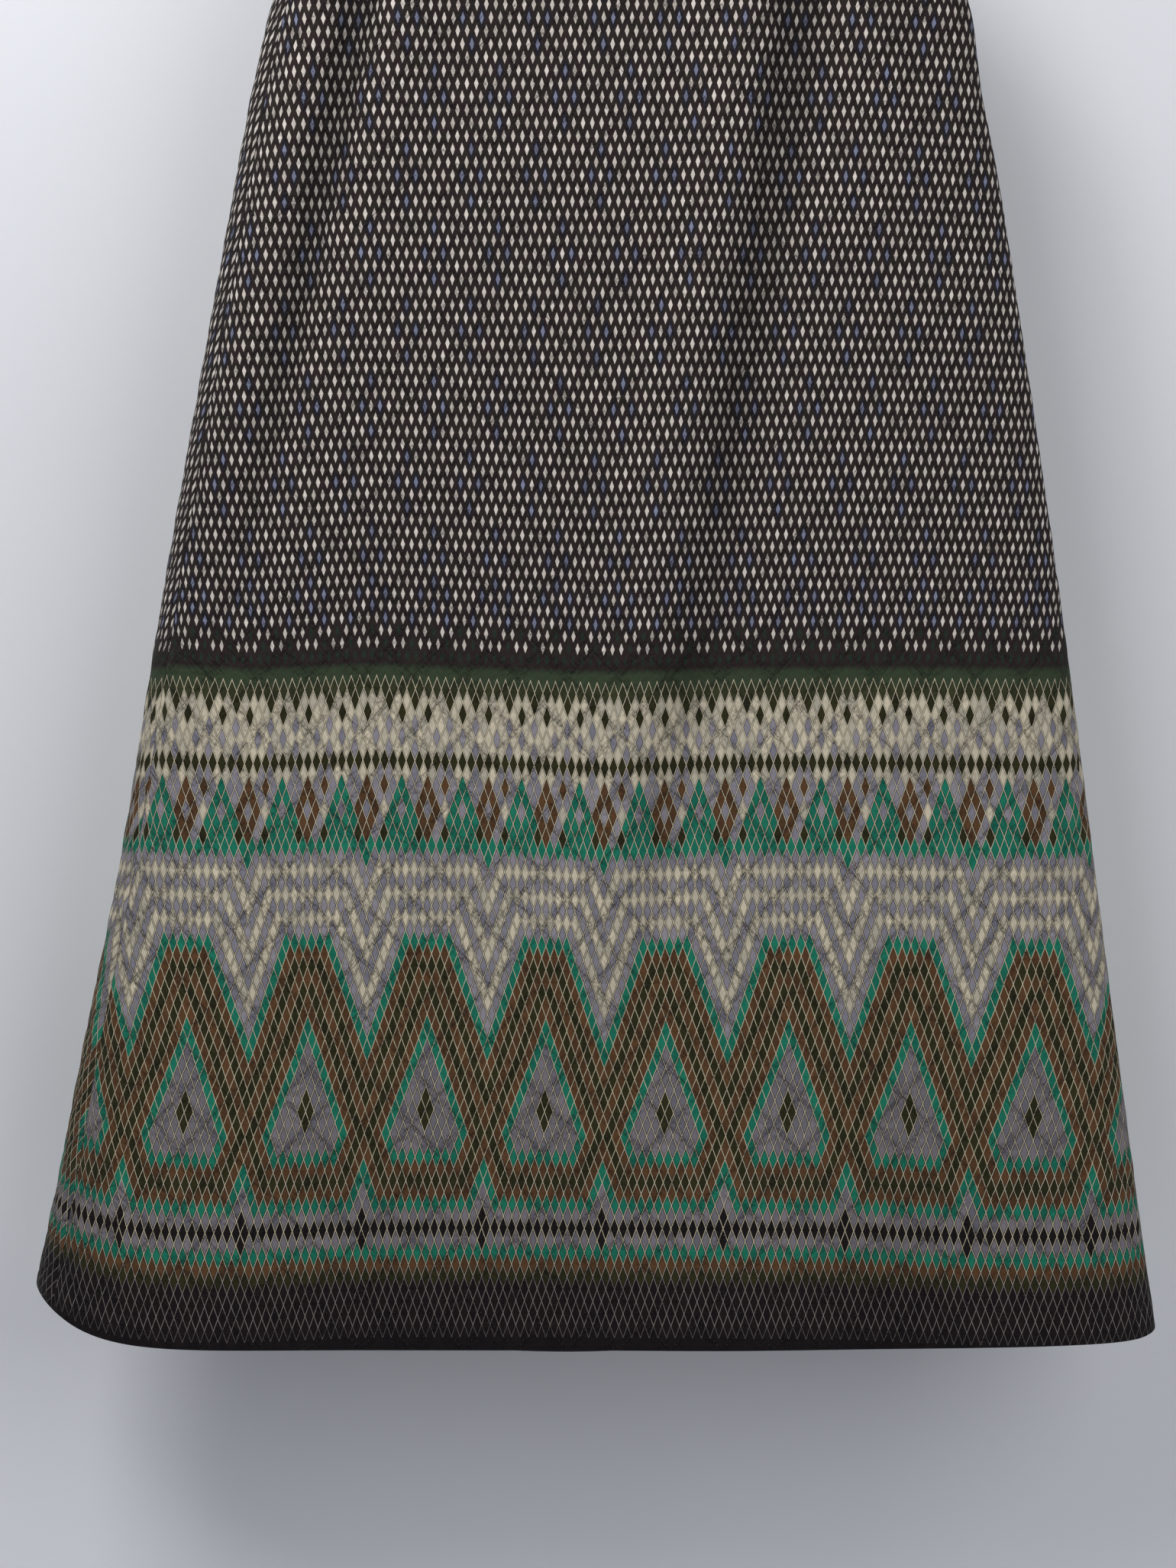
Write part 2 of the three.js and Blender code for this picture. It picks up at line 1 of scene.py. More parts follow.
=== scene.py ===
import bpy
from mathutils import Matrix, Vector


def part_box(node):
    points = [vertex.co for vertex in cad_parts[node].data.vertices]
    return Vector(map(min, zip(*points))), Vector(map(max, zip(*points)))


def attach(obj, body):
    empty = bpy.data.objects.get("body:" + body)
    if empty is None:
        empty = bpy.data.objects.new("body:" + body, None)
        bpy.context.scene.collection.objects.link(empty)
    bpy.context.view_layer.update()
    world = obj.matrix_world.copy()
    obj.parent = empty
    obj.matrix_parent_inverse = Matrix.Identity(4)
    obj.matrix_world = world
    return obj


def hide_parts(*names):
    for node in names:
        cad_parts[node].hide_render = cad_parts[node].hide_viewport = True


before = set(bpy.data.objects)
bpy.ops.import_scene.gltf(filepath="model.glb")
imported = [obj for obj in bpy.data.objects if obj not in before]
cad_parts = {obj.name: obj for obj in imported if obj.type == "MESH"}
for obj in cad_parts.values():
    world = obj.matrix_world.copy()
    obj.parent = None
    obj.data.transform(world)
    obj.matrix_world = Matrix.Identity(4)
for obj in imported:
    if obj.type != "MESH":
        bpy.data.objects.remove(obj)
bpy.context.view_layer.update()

import math
from functools import partialmethod

import bpy
import numpy as np
from mathutils import Vector

# Quilted maxi skirt. Lengths in the dictionaries are in millimetres, meshes are made in metres.
mm = 0.001

camera = {"place": (-0.0204, -2.45, -0.6638), "lens": 82.5}

bpy.ops.object.select_all(action="DESELECT")
bpy.ops.object.camera_add(location=camera["place"], rotation=(math.radians(90), 0, 0))
bpy.context.scene.camera = bpy.context.object
bpy.context.object.data.lens = camera["lens"]

# the skirt's form
form = {
    "bandHeight": 30, "length": 1040, "seamGap": 0.3, "cloth": 2.4, "thickerLeft": 1.3,
    "thickerRight": 0.8, "thickerReach": 30, "leftBlunt": 8, "rightBlunt": 2.8, "leftSeam": 13,
    "foldOpening": 55, "foldFade": 0.7, "foldsFadeUnder": 0.6,
    "leftRise": (38, 50, 1.5, 5),  # the hem's corner: height, reach, how sharp across and down
    "rightRise": (8, 15),  # height, reach
    "backSag": (19, -31, 185),  # depth, x of its middle, reach
    "hemRound": 0.9, "hemRoundFrom": 3,
    "smoothUnder": 50,  # degrees
}

# distance down, reach to the left and right, half depth to the front and back
outline = np.array([
    (0, 182, 182, 30, 30),
    (30, 187, 187, 31, 31),
    (78, 215, 214, 35, 34),
    (130, 234.5, 238.5, 38, 37),
    (193, 249, 247.7, 41, 40),
    (255, 260.5, 259.5, 43, 42),
    (442, 293.6, 287.5, 48, 46),
    (567, 314.6, 304.7, 51, 49),
    (724, 339, 324.5, 54, 53),
    (849, 362.5, 340, 57, 56),
    (974, 384, 356.5, 59, 59),
    (1040, 396, 366, 60, 60),
])

# x at the top, x at the foot, bend, start, end, half width, rise
folds = {
    "front": [
        (-178, -300, 0, 30, 600, 17, 5),
        (-150, -282, 0, 30, 640, 16, -11),
        (-128, -245, 0, 30, 640, 17, 5),
        (-112, -126, 0, 30, 270, 13, -4),
        (-44, -52, 0, 30, 240, 14, -3),
        (96, -82, 10, 30, 960, 30, 4),
        (137, -30, 10, 30, 960, 20, -9),
        (172, 206, 4, 30, 290, 14, -3),
    ],
    "back": [
        (-118, -176, -8, 30, 540, 17, -8),
        (-88, -138, -12, 30, 500, 18, 4),
        (108, 152, 6, 30, 430, 15, -6),
        (134, 196, 6, 30, 460, 18, 4),
        (162, 246, 0, 30, 330, 13, -4),
        (-36, -70, 0, 270, 800, 26, -4),
        (44, 28, 8, 290, 740, 28, 3),
    ],
}
hemWave = {
    "front": 1.8, "back": 4, "from": 660, "over": 380, "long": (52, 0.6), "short": (29, -1.1),
    "shortShare": 0.5,
}

quilt = {
    "halfWide": 17.2, "halfRows": 54, "fine": 6, "rise": 1.7, "round": 0.62, "lostAtLeft": 0.5,
    "lostReach": 30, "flatAtEdge": 9, "clearOfSeam": 0.35, "zipSlot": 6, "slotEnd": 222,
    "slotCloses": 13,
}

topDown = form["bandHeight"] + form["seamGap"]
rowHeight = (form["length"] - topDown) / quilt["halfRows"]
turns = np.linspace(-0.25, 2.25, 601)  # 0 left edge, 0.5 centre front, 1 right edge, 1.5 centre back
across = -np.cos(np.pi * turns)
onFront = (turns % 2) < 1


def smooth(t):
    t = np.clip(t, 0, 1)
    return t * t * (3 - 2 * t)


def outlineAt(down):
    k = min(max(int(np.searchsorted(outline[:, 0], down)), 1), len(outline) - 1)

    def slope(row):
        a, b = outline[max(0, row - 1)], outline[min(len(outline) - 1, row + 1)]
        return (b[1:] - a[1:]) / (b[0] - a[0])

    above, below = outline[k - 1], outline[k]
    step = below[0] - above[0]
    t = (down - above[0]) / step
    bend = (1 - t) * slope(k - 1) * step - t * slope(k) * step
    return above[1:] + (below[1:] - above[1:]) * t * t * (3 - 2 * t) + t * (1 - t) * bend


def foldRise(face, x, down):
    rise = np.zeros_like(x)
    for top, foot, bend, start, end, half, height in folds[face]:
        t = (down - start) / (end - start)
        if 0 < t < 1:
            centre = top + (foot - top) * t + bend * 4 * t * (1 - t)
            strength = smooth((down - start) / form["foldOpening"]) * (1 - smooth(t)) ** form["foldFade"]
            rise += height * strength * np.exp(-(((x - centre) / half) ** 2))
    (long, longShift), (short, shortShift) = hemWave["long"], hemWave["short"]
    wave = np.sin(x / long + longShift) + hemWave["shortShare"] * np.sin(x / short + shortShift)
    return rise + hemWave[face] * wave * smooth((down - hemWave["from"]) / hemWave["over"])


def outward(x, y):
    dx, dy = np.gradient(x), np.gradient(y)
    length = np.hypot(dx, dy)
    return dy / length, -dx / length


sections = {}


def sectionAt(down):
    key = round(float(down), 4)
    if key not in sections:
        left, right, front, back = outlineAt(down)
        blunt = np.where(across < 0, form["leftBlunt"], form["rightBlunt"])
        bulge = np.sqrt(np.maximum(0, 1 - np.abs(across) ** blunt))
        x = across * np.where(across < 0, left, right)
        y = np.where(onFront, -bulge * front, bulge * back)
        outX, outY = outward(x, y)
        rise = np.where(onFront, foldRise("front", x, down), foldRise("back", x, down))
        rise *= smooth(bulge / form["foldsFadeUnder"])
        x, y = x + outX * rise, y + outY * rise
        outX, outY = outward(x, y)
        steps = np.hypot(np.diff(x), np.diff(y))
        along = np.concatenate([[0], np.cumsum(steps)])
        sections[key] = {"x": x, "y": y, "outX": outX, "outY": outY, "along": along, "rise": rise}
    return sections[key]


# how far the folds lift the cloth, less than 0 in a valley
def liftAt(down, along):
    return np.interp(along, sectionAt(down)["along"], sectionAt(down)["rise"])


def alongAtTurn(down, turn):
    return float(np.interp(turn, turns, sectionAt(down)["along"]))


def fromLeftEdge(down, along):
    return np.minimum(np.abs(along - alongAtTurn(down, 0)), np.abs(along - alongAtTurn(down, 2)))


# x, y and the way out of the cloth at lengths along its section
def sectionPoint(down, along):
    section = sectionAt(down)
    return [np.interp(along, section["along"], section[name]) for name in ("x", "y", "outX", "outY")]


# points of the cloth at lengths along its section, moved out of the stitched face by `out`
def clothPoints(down, along, out):
    x, y, outX, outY = sectionPoint(down, along)
    turn = np.interp(along, sectionAt(down)["along"], turns)
    share = max(0, (down - topDown) / (form["length"] - topDown))
    height, reach, edge, onset = form["leftRise"]
    lift = height * share ** onset * np.exp(-((fromLeftEdge(down, along) / reach) ** edge))
    height, reach = form["rightRise"]
    lift = lift + height * share * np.exp(-np.abs(along - alongAtTurn(down, 1)) / reach)
    depth, centre, reach = form["backSag"]
    onBack = (turn > 1) & (turn < 2)
    lift = lift - onBack * depth * share ** 2 * np.exp(-(((x - centre) / reach) ** 2))
    return np.stack([x + outX * out, y + outY * out, -down + lift], axis=-1)


def leftSeamTurn(down):
    return math.acos(1 - form["leftSeam"] / outlineAt(down)[0]) / math.pi


def halfSeam(down):
    return form["seamGap"] / 2


def halfBackGap(down):
    narrow = float(smooth((down - quilt["slotEnd"]) / quilt["slotCloses"]))
    return quilt["zipSlot"] / 2 * (1 - narrow) + form["seamGap"] / 2 * narrow


# turns of the seams, and of the middle of the front
seams = {
    "left": leftSeamTurn,
    "middle": lambda down: 0.5,
    "right": lambda down: 1,
    "back": lambda down: 1.5,
    "leftFromBack": lambda down: 2 + leftSeamTurn(down),
}


class Wire:  # a socket of a node tree that can be used in sums
    def __init__(self, finish, socket):
        self.finish, self.socket = finish, socket

    def sum(self, operation, *others):
        return self.finish.node("Math", dict(enumerate((self, *others))), operation=operation)

    __add__ = partialmethod(sum, "ADD")
    __sub__ = partialmethod(sum, "SUBTRACT")
    __mul__ = partialmethod(sum, "MULTIPLY")
    over = partialmethod(sum, "GREATER_THAN")
    under = partialmethod(sum, "LESS_THAN")
    least = partialmethod(sum, "MINIMUM")
    most = partialmethod(sum, "MAXIMUM")
    size = partialmethod(sum, "ABSOLUTE")
    turned = partialmethod(sum, "FLOORED_MODULO")

    def rounded(self):
        return (self + 0.5).sum("FLOOR")


class Finish:  # a material and its nodes
    def __init__(self, name, roughness, sheen=0.0):
        self.material = bpy.data.materials.new(name)
        self.material.use_nodes = True
        self.tree = self.material.node_tree
        self.shader = self.tree.nodes["Principled BSDF"]
        self.shader.inputs["Roughness"].default_value = roughness
        self.shader.inputs["Sheen Weight"].default_value = sheen
        self.shader.inputs["Sheen Roughness"].default_value = 0.5
        self.shader.inputs["Specular IOR Level"].default_value = 0.3

    # a new node, its inputs linked to wires or set to values, and the wire of one of its outputs
    def node(self, kind, inputs, output=0, **settings):
        node = self.tree.nodes.new("ShaderNode" + kind)
        for name, value in settings.items():
            setattr(node, name, value)
        for name, value in inputs.items():
            if isinstance(value, Wire):
                self.tree.links.new(value.socket, node.inputs[name])
            else:
                node.inputs[name].default_value = value
        return Wire(self, node.outputs[output])

    def uv(self, name):
        where = self.node("UVMap", {}, uv_map=name)
        return [self.node("SeparateXYZ", {0: where}, k) for k in (0, 1)]

    def place(self):
        return self.node("TexCoord", {}, "Object")

    def attribute(self, name):
        return self.node("Attribute", {}, "Fac", attribute_name=name)

    def point(self, x, y, z=0.0):
        return self.node("CombineXYZ", {0: x, 1: y, 2: z})

    def noise(self, where, scale, detail=2.0):
        return self.node("TexNoise", {"Vector": where, "Scale": scale, "Detail": detail}, "Fac")

    # a different number from 0 to 1 for each cell
    def lot(self, x, y):
        return self.node("TexWhiteNoise", {"Vector": self.point(x, y)}, "Value", noise_dimensions="2D")

    def spread(self, wire, low, high, toLow=0.0, toHigh=1.0):
        ends = {"From Min": low, "From Max": high, "To Min": toLow, "To Max": toHigh}
        return self.node("MapRange", {"Value": wire, **ends}, "Result")

    # colours laid end to end, picked by whole numbers from 0
    def palette(self, number, colours):
        node = self.tree.nodes.new("ShaderNodeValToRGB")
        ramp = node.color_ramp
        ramp.interpolation = "CONSTANT"
        while len(ramp.elements) < len(colours):
            ramp.elements.new(0.999)
        for k, colour in enumerate(colours):
            ramp.elements[k].position = k / len(colours)
            ramp.elements[k].color = (*colour, 1)
        self.tree.links.new(((number + 0.5) * (1 / len(colours))).socket, node.inputs[0])
        return Wire(self, node.outputs[0])

    def blend(self, share, a, b, kind="MIX"):
        a, b = ((*tone, 1) if isinstance(tone, tuple) else tone for tone in (a, b))
        return self.node("Mix", {0: share, 6: a, 7: b}, 2, data_type="RGBA", blend_type=kind)

    def multiply(self, colour, by):
        return self.blend(1.0, colour, by, "MULTIPLY")

    def colour(self, wire):
        self.tree.links.new(wire.socket, self.shader.inputs["Base Color"])

    def bump(self, height, distance, strength=1.0, **before):
        out = self.node("Bump", {"Height": height, "Distance": distance, "Strength": strength, **before})
        self.tree.links.new(out.socket, self.shader.inputs["Normal"])
        return out


def sRgb(text):
    parts = [int(text[k:k + 2], 16) / 255 for k in (0, 2, 4)]
    return tuple(p / 12.92 if p <= 0.04045 else ((p + 0.055) / 1.055) ** 2.4 for p in parts)


def shade(colour, share):
    return tuple(min(1, share * part) for part in colour)


# Inks of the border print, by their letter in the charts
inks = {
    "C": sRgb("C6BDA9"),
    "L": sRgb("8A8690"),
    "M": sRgb("77727A"),
    "G": sRgb("1B735D"),
    "B": sRgb("593E28"),
    "D": sRgb("2E2D18"),
    "E": sRgb("373A25"),
    "K": sRgb("1A1517"),
}
lineInks = {"pale": sRgb("C6BCA1"), "inBlack": sRgb("938C87")}
upperInks = {
    "cream": sRgb("D6CDC5"), "ground": sRgb("2C2223"), "olive": sRgb("2B2622"),
    "blue": sRgb("7F839A"), "navy": sRgb("22212B"), "gap": sRgb("26322A"), "strip": sRgb("374230"),
}

# The top rows of the border, seven columns wide
topChart = [
    "EEEEEEE",
    "CDCCCDC",
    "DCCDCCC",
    "CLCCCLC",
    "LCCCLCC",
    "CLCCCLC",
    "DDDDDDD",
    "CLCCLLC",
    "GLLBLBL",
    "GLBBLLG",
    "LGBLBCG",
    "GGBBLGG",
    "GGDBLDG",
]
# The lowest rows of the small diamonds, from the fourth row up
lastChart = ["WBWWWBW", "BWWWWWW", "WBWWBWW", "GWWGWWW", "WGWWGWW"]
# Bands from the outermost in, and the place in each of its number 0
archBands = ("GLCLCLCLGBDBDBGM", 8)
footBands = ("MGBDBGM", 1)
hemBands = ("MKMGBDK", 0)

# Where the parts of the border lie, in rows of cells down from its top
border = {
    "repeat": 7,  # columns of the top chart, and half the way from one arch to the next
    "chartShift": 3, "archesFrom": 12.5, "archLevel": 21, "archSlope": 30, "feetFrom": 37.5,
    "footLevel": 43, "footSlope": 40, "hemFrom": 43.5, "hemLevel": 44, "spikesTo": 46.5,
    "lozengeRow": 35, "lozengeSize": 0.6, "blackFrom": 48.5, "linesTo": 53.5,
    "line": (46, 50, 0.036, 0.026),  # between these rows its half width goes from one to the other
    "outline": (0.138, 0.108),
    "outlineShares": (0.1, 0.78),  # in dark cells and in pale ones
    "paleInChart": 0.7, "lots": ((0.76, 0.78, 0.8), (1.12, 1.1, 1.06)),
}

upperMarks = {
    "repeat": (7, 12),
    "rings": ((0, 7), (4, 1)),  # column and row of each ring's middle
    "edge": (0.249, 0.265), "lots": ((0.8, 0.79, 0.77), (1.05, 1.05, 1.05)),
    "blotch": (1.7, 0.35, 0.65), "navyShare": 0.85,
    "scratch": (4.3, 5.4, 4),  # lines across and down, and how they waver
    "scratchHalf": 0.11, "unscratched": 0.74, "scratchShare": 0.7, "strip": (-2.1, -1.6),
}

quiltLooks = {
    "waver": (1.3, 3.0), "broken": (2.1, 1.0),
    "hairs": ((0, 0.03, 0.5), (0, -0.055, 0.56), (1, -0.03, 0.5), (1, 0.06, 0.56)),
    "hairWaver": 0.16, "hairHalf": (0.006, 0.0105), "hairShare": 0.62, "creaseShade": sRgb("221E1C"),
    "channel": (0.0, 0.13, 0.8, 1.01), "patches": ((0.84, 0.84, 0.85), (1.1, 1.1, 1.09)),
    # the fold tones that follow are painted shade in each valley and a painted highlight on each ridge
    "patchScale": 0.35, "valleyShade": (-6, -0.5, 0.56, 1), "ridgeHighlight": (0.5, 5, 1, 1.14),
    "puckers": (3, 9), "puckersFade": (0.02, 0.3, 1, 0.25), "puckerHigh": 0.0026, "weave": 60,
    "weaveHigh": 0.0003,
}


# the diamond that a place is in, one column wide and two rows high, and how far its edge is
def diamonds(column, row):
    s, t = column + row * 0.5, column - row * 0.5
    wholeS, wholeT = s.rounded(), t.rounded()
    edge = (s - wholeS).size().most((t - wholeT).size()) * -1 + 0.5
    return s, t, (wholeS + wholeT) * 0.5, wholeS - wholeT, edge


def inBands(number, bands):
    letters, first = bands
    return number.most(-first).least(len(letters) - 1 - first) + first


def borderColour(cloth):
    column, row = cloth.uv("border")
    s, t, cellColumn, cellRow, edge = diamonds(column, row)
    repeat = border["repeat"]
    fromAxis = cellColumn.sum("PINGPONG", repeat)
    fromCentre = fromAxis * -1 + repeat

    step = ((cellColumn + border["chartShift"]).turned(repeat) + 0.25).sum("FLOOR")
    colour = None
    for first in range(0, len(topChart), 4):
        number = (cellRow - first) * repeat + step
        part = cloth.palette(number, [inks[letter] for letter in "".join(topChart[first:first + 4])])
        colour = part if colour is None else cloth.blend(cellRow.over(first - 0.5), colour, part)

    arch = ((cellRow + fromAxis * 2 - border["archSlope"]) * 0.5).least(cellRow - border["archLevel"])
    arch = inBands(arch, archBands)
    foot = (cellRow * -1 + border["footSlope"] + fromAxis * 2) * 0.5
    foot = foot.least(cellRow * -1 + border["footLevel"])
    bands = (
        (arch, archBands, "archesFrom"),
        (inBands(foot, footBands), footBands, "feetFrom"),
        (inBands(cellRow - border["hemLevel"], hemBands), hemBands, "hemFrom"),
    )
    for number, (letters, _), start in bands:
        banded = cloth.palette(number, [inks[letter] for letter in letters])
        colour = cloth.blend(cellRow.over(border[start]), colour, banded)
    spike = fromAxis.under(0.25) * cellRow.over(border["hemFrom"]) * cellRow.under(border["spikesTo"])
    colour = cloth.blend(spike, colour, inks["K"])
    lozenge = ((cellRow - border["lozengeRow"]).size() * 0.5 + fromCentre).under(border["lozengeSize"])
    colour = cloth.blend(lozenge, colour, inks["D"])

    # unevenness from cell to cell
    colour = cloth.multiply(colour, cloth.blend(cloth.lot(cellColumn, cellRow), *border["lots"]))

    # the pale lines between the cells, with a dark outline inside the pale cells
    pale = cloth.palette(arch, [(1,) * 3 if letter in "CLM" else (0,) * 3 for letter in archBands[0]])
    isPale = cloth.blend(cellRow.over(border["archesFrom"]), (border["paleInChart"],) * 3, pale)
    inDark, inPale = (cloth.blend(share, colour, inks["K"]) for share in border["outlineShares"])
    colour = cloth.blend(cloth.spread(edge, *border["outline"]), colour, cloth.blend(isPale, inDark, inPale))
    begun = ((s + 0.05).rounded() - (t - 0.05).rounded()).over(-0.5)
    line = (edge * -1 + cloth.spread(row, *border["line"])).over(0) * begun * cellRow.under(border["linesTo"])
    ink = cloth.blend(cellRow.over(border["blackFrom"]), lineInks["pale"], lineInks["inBlack"])
    return cloth.blend(line, colour, ink), row, begun


# small diamonds on a dark ground
def upperColour(cloth, flat, waver):
    column, row = cloth.uv("upper")
    column = column + 0.5  # its odd rows stand on whole columns
    _, _, cellColumn, cellRow, edge = diamonds(column, row)
    cellColumn = cellColumn - 0.5
    columns, rows = upperMarks["repeat"]

    blue = None
    for centreColumn, centreRow in upperMarks["rings"]:
        sideways = ((cellColumn + (columns // 2 - centreColumn)).turned(columns) - columns // 2).size()
        upward = ((cellRow + (rows // 2 - centreRow)).turned(rows) - rows // 2).size()
        ring = (sideways + upward * 0.5 - 1).size().under(0.1) * cellRow.turned(2)
        blue = ring if blue is None else blue.most(ring)

    # the last chart tells blue marks by red, and gaps by green
    letters = {"W": (0, 0, 0), "B": (1, 0, 0), "G": (0, 1, 0)}
    number = (cellRow * -1 + 4) * columns + (cellColumn.turned(columns) + 0.25).sum("FLOOR")
    above = cloth.palette(number, [letters[letter] for letter in "".join(lastChart[:4])])
    lowest = cloth.palette(number - 4 * columns, [letters[letter] for letter in lastChart[4]])
    told = cloth.blend(cellRow.under(0.5), above, lowest)
    red, green = (cloth.node("SeparateColor", {0: told}, k) for k in (0, 1))
    inLast = cellRow.under(4.5)
    blue = blue * (inLast * -1 + 1) + red * inLast
    gap = (green * inLast).most(cellRow.under(-0.5))

    mark = cloth.blend(blue, upperInks["cream"], upperInks["blue"])
    mark = cloth.multiply(mark, cloth.blend(cloth.lot(cellColumn, cellRow), *upperMarks["lots"]))
    mark = cloth.blend(gap, mark, upperInks["gap"])
    scale, low, high = upperMarks["blotch"]
    blotch = cloth.spread(cloth.noise(flat, scale, 1.0), low, high)
    ground = cloth.blend(blotch, upperInks["ground"], upperInks["olive"])
    ground = cloth.blend(blue * upperMarks["navyShare"], ground, upperInks["navy"])

    # fine slanting scratches where some of the marks have worn
    lean = cloth.lot(cellColumn, cellRow + 57).over(0.5) * 2 - 1
    across, down, bend = upperMarks["scratch"]
    slant = column * across * lean + row * down + waver * bend
    worn = cloth.lot(cellColumn + 31, cellRow).over(upperMarks["unscratched"])
    scratch = (slant.turned(1) - 0.5).size().under(upperMarks["scratchHalf"]) * worn
    mark = cloth.blend(scratch * upperMarks["scratchShare"], mark, ground)
    return cloth.blend(cloth.spread(edge, *upperMarks["edge"]), ground, mark)


def printMaterial():
    cloth = Finish("printedCotton", 0.9, 0.02)
    cloth.shader.inputs["Specular IOR Level"].default_value = 0.14
    quiltX, quiltY = cloth.uv("quilting")
    flat = cloth.point(quiltX, quiltY)
    waver = cloth.noise(flat, *quiltLooks["waver"]) - 0.5

    # a plain dark green strip parts the two prints
    lower, row, begun = borderColour(cloth)
    upper = upperColour(cloth, flat, waver)
    upper = cloth.blend(cloth.spread(row, *upperMarks["strip"]), upper, upperInks["strip"])
    colour = cloth.blend(begun, upper, lower)

    # quilting: painted shade in the stitched channels, and painted shade in hair creases pulled up beside the
    # thread
    p = (quiltX + quiltY) * 0.5
    q = (quiltX - quiltY) * 0.5
    offs = (p - p.rounded(), q - q.rounded())
    distance = offs[0].size().least(offs[1].size())
    broken = cloth.noise(flat, *quiltLooks["broken"])
    hair = None
    for k, aside, cut in quiltLooks["hairs"]:
        off = (offs[k] + waver * quiltLooks["hairWaver"] + aside).size()
        crease = cloth.spread(off, *quiltLooks["hairHalf"], 1, 0) * broken.over(cut)
        hair = crease if hair is None else hair.most(crease)
    # the hair creases are thin dark lines of painted shade beside the thread
    colour = cloth.blend(hair * quiltLooks["hairShare"], colour, quiltLooks["creaseShade"])
    # painted shade in the channel, darkest on the stitch line
    channel = cloth.spread(distance, *quiltLooks["channel"])
    colour = cloth.multiply(colour, cloth.blend(channel, (0.0,) * 3, (1.0,) * 3))
    patches = cloth.noise(flat, quiltLooks["patchScale"], 3.0)
    colour = cloth.multiply(colour, cloth.blend(patches, *quiltLooks["patches"]))

    # painted shade in each valley of the folds and a painted highlight along each ridge, from how far the
    # folds lift the cloth
    lift = cloth.attribute("lift")
    tone = cloth.spread(lift, *quiltLooks["valleyShade"]) * cloth.spread(lift, *quiltLooks["ridgeHighlight"])
    cloth.colour(cloth.multiply(colour, cloth.point(tone, tone, tone)))

    # puckers that cross the stitching, then the weave
    along, across = quiltLooks["puckers"]
    puckers = cloth.noise(cloth.point(p * along, q * across), 1.0, 1.0)
    puckers = puckers + cloth.noise(cloth.point(p * across, q * along), 1.0, 1.0)
    puckers = puckers * cloth.spread(distance, *quiltLooks["puckersFade"])
    bent = cloth.bump(puckers, quiltLooks["puckerHigh"], 1.0)
    fine = quiltLooks["weave"]
    weave = cloth.noise(cloth.point(quiltX * fine, quiltY * fine), 1.0, 1.0)
    cloth.bump(weave, quiltLooks["weaveHigh"], 0.35, Normal=bent)
    return cloth.material


def plainCloth(name, colour, roughness, weaveScale=900):
    cloth = Finish(name, roughness, 0.1)
    where = cloth.place()
    cloth.colour(cloth.blend(cloth.noise(where, 18, 3), shade(colour, 0.8), shade(colour, 1.25)))
    soft = cloth.bump(cloth.noise(where, 45, 2), 0.0015, 0.4)
    cloth.bump(cloth.noise(where, weaveScale, 1), 0.0003, 0.5, Normal=soft)
    return cloth.material


def threadMaterial(name, colour):
    cloth = Finish(name, 0.62, 0.15)
    where = cloth.place()
    cloth.colour(cloth.blend(cloth.noise(where, 900, 2), shade(colour, 0.7), shade(colour, 1.5)))
    cloth.bump(cloth.noise(where, 3200, 1), 0.00008, 0.6)
    return cloth.material


printedCotton = printMaterial()
blackCotton = plainCloth("blackCotton", sRgb("1A1517"), 0.9)
darkThread = threadMaterial("darkThread", sRgb("2B2523"))
blackThread = threadMaterial("blackThread", sRgb("141113"))
print("materials made")

# where the border print lies on the cloth: every 14th column is an axis of its arches, and these rows
# are followed across the panel, each as the distances across and down of its crossings with the axes
printAxes = np.arange(-56, 57, 14)
printRows = {
    -1: ((-333, -245.8, -167.1, -86.6, -8.7, 71.7, 153.4, 236.6, 325),
         (590.5, 594.8, 591, 594, 596.6, 594.3, 593.3, 593.3, 594)),
    14: ((-333.4, -247.6, -168.3, -86.9, -10.1, 71.4, 153.2, 237.8, 328),
         (715, 714.4, 712.1, 713.7, 718.2, 713.7, 713.7, 716, 717)),
    30: ((-328.8, -246.2, -167.5, -87.4, -9.5, 72.6, 154.3, 236.7, 325),
         (843.6, 843.3, 840.9, 840.9, 845.7, 843.6, 843.3, 847.4, 847)),
    45: ((-334.4, -251.6, -171.3, -91.2, -11.5, 69.4, 150.8, 233.1, 320),
         (963.4, 962.9, 959.7, 958.9, 959.5, 959.4, 961.3, 966, 968)),
}
printRow = 8.078
upperPrint = {
    "axis": -123.4, "axisColumn": -14, "column": 5.865, "widens": 0.00115, "widensAbove": 537.8,
    "top": 570.1, "row": 8.21, "closer": 1.247e-5, "level": 592.3, "dipFrom": 250, "dipOver": 320,
}


def alongKnots(u, knots, values):
    inner = np.interp(u, knots, values)
    first = (values[1] - values[0]) / (knots[1] - knots[0])
    last = (values[-1] - values[-2]) / (knots[-1] - knots[-2])
    return inner + np.minimum(u - knots[0], 0) * first + np.maximum(u - knots[-1], 0) * last


def borderAt(u, v):
    rows = list(printRows)
    downs = [np.interp(u, *printRows[row]) for row in rows]
    columns = [alongKnots(u, printRows[row][0], printAxes) for row in rows]
    row = rows[0] + (v - downs[0]) / printRow
    column = columns[0]
    for k in range(len(rows) - 1):
        share = (v - downs[k]) / (downs[k + 1] - downs[k])
        between = rows[k] + (rows[k + 1] - rows[k]) * share
        row = np.where(share > 0, between, row)
        beside = columns[k] + (columns[k + 1] - columns[k]) * np.clip(share, 0, 1)
        column = np.where(share > 0, beside, column)
    beyond = v - downs[-1]
    return column, np.where(beyond > 0, rows[-1] + beyond / printRow, row)


def upperAt(u, v):
    wide = upperPrint["column"] + (upperPrint["widensAbove"] - v) * upperPrint["widens"]
    dip = np.interp(u, *printRows[-1]) - upperPrint["level"]
    up = upperPrint["top"] - (v - dip * smooth((v - upperPrint["dipFrom"]) / upperPrint["dipOver"]))
    column = upperPrint["axisColumn"] + (u - upperPrint["axis"]) / wide
    return column, up / upperPrint["row"] - upperPrint["closer"] * up * np.abs(up)


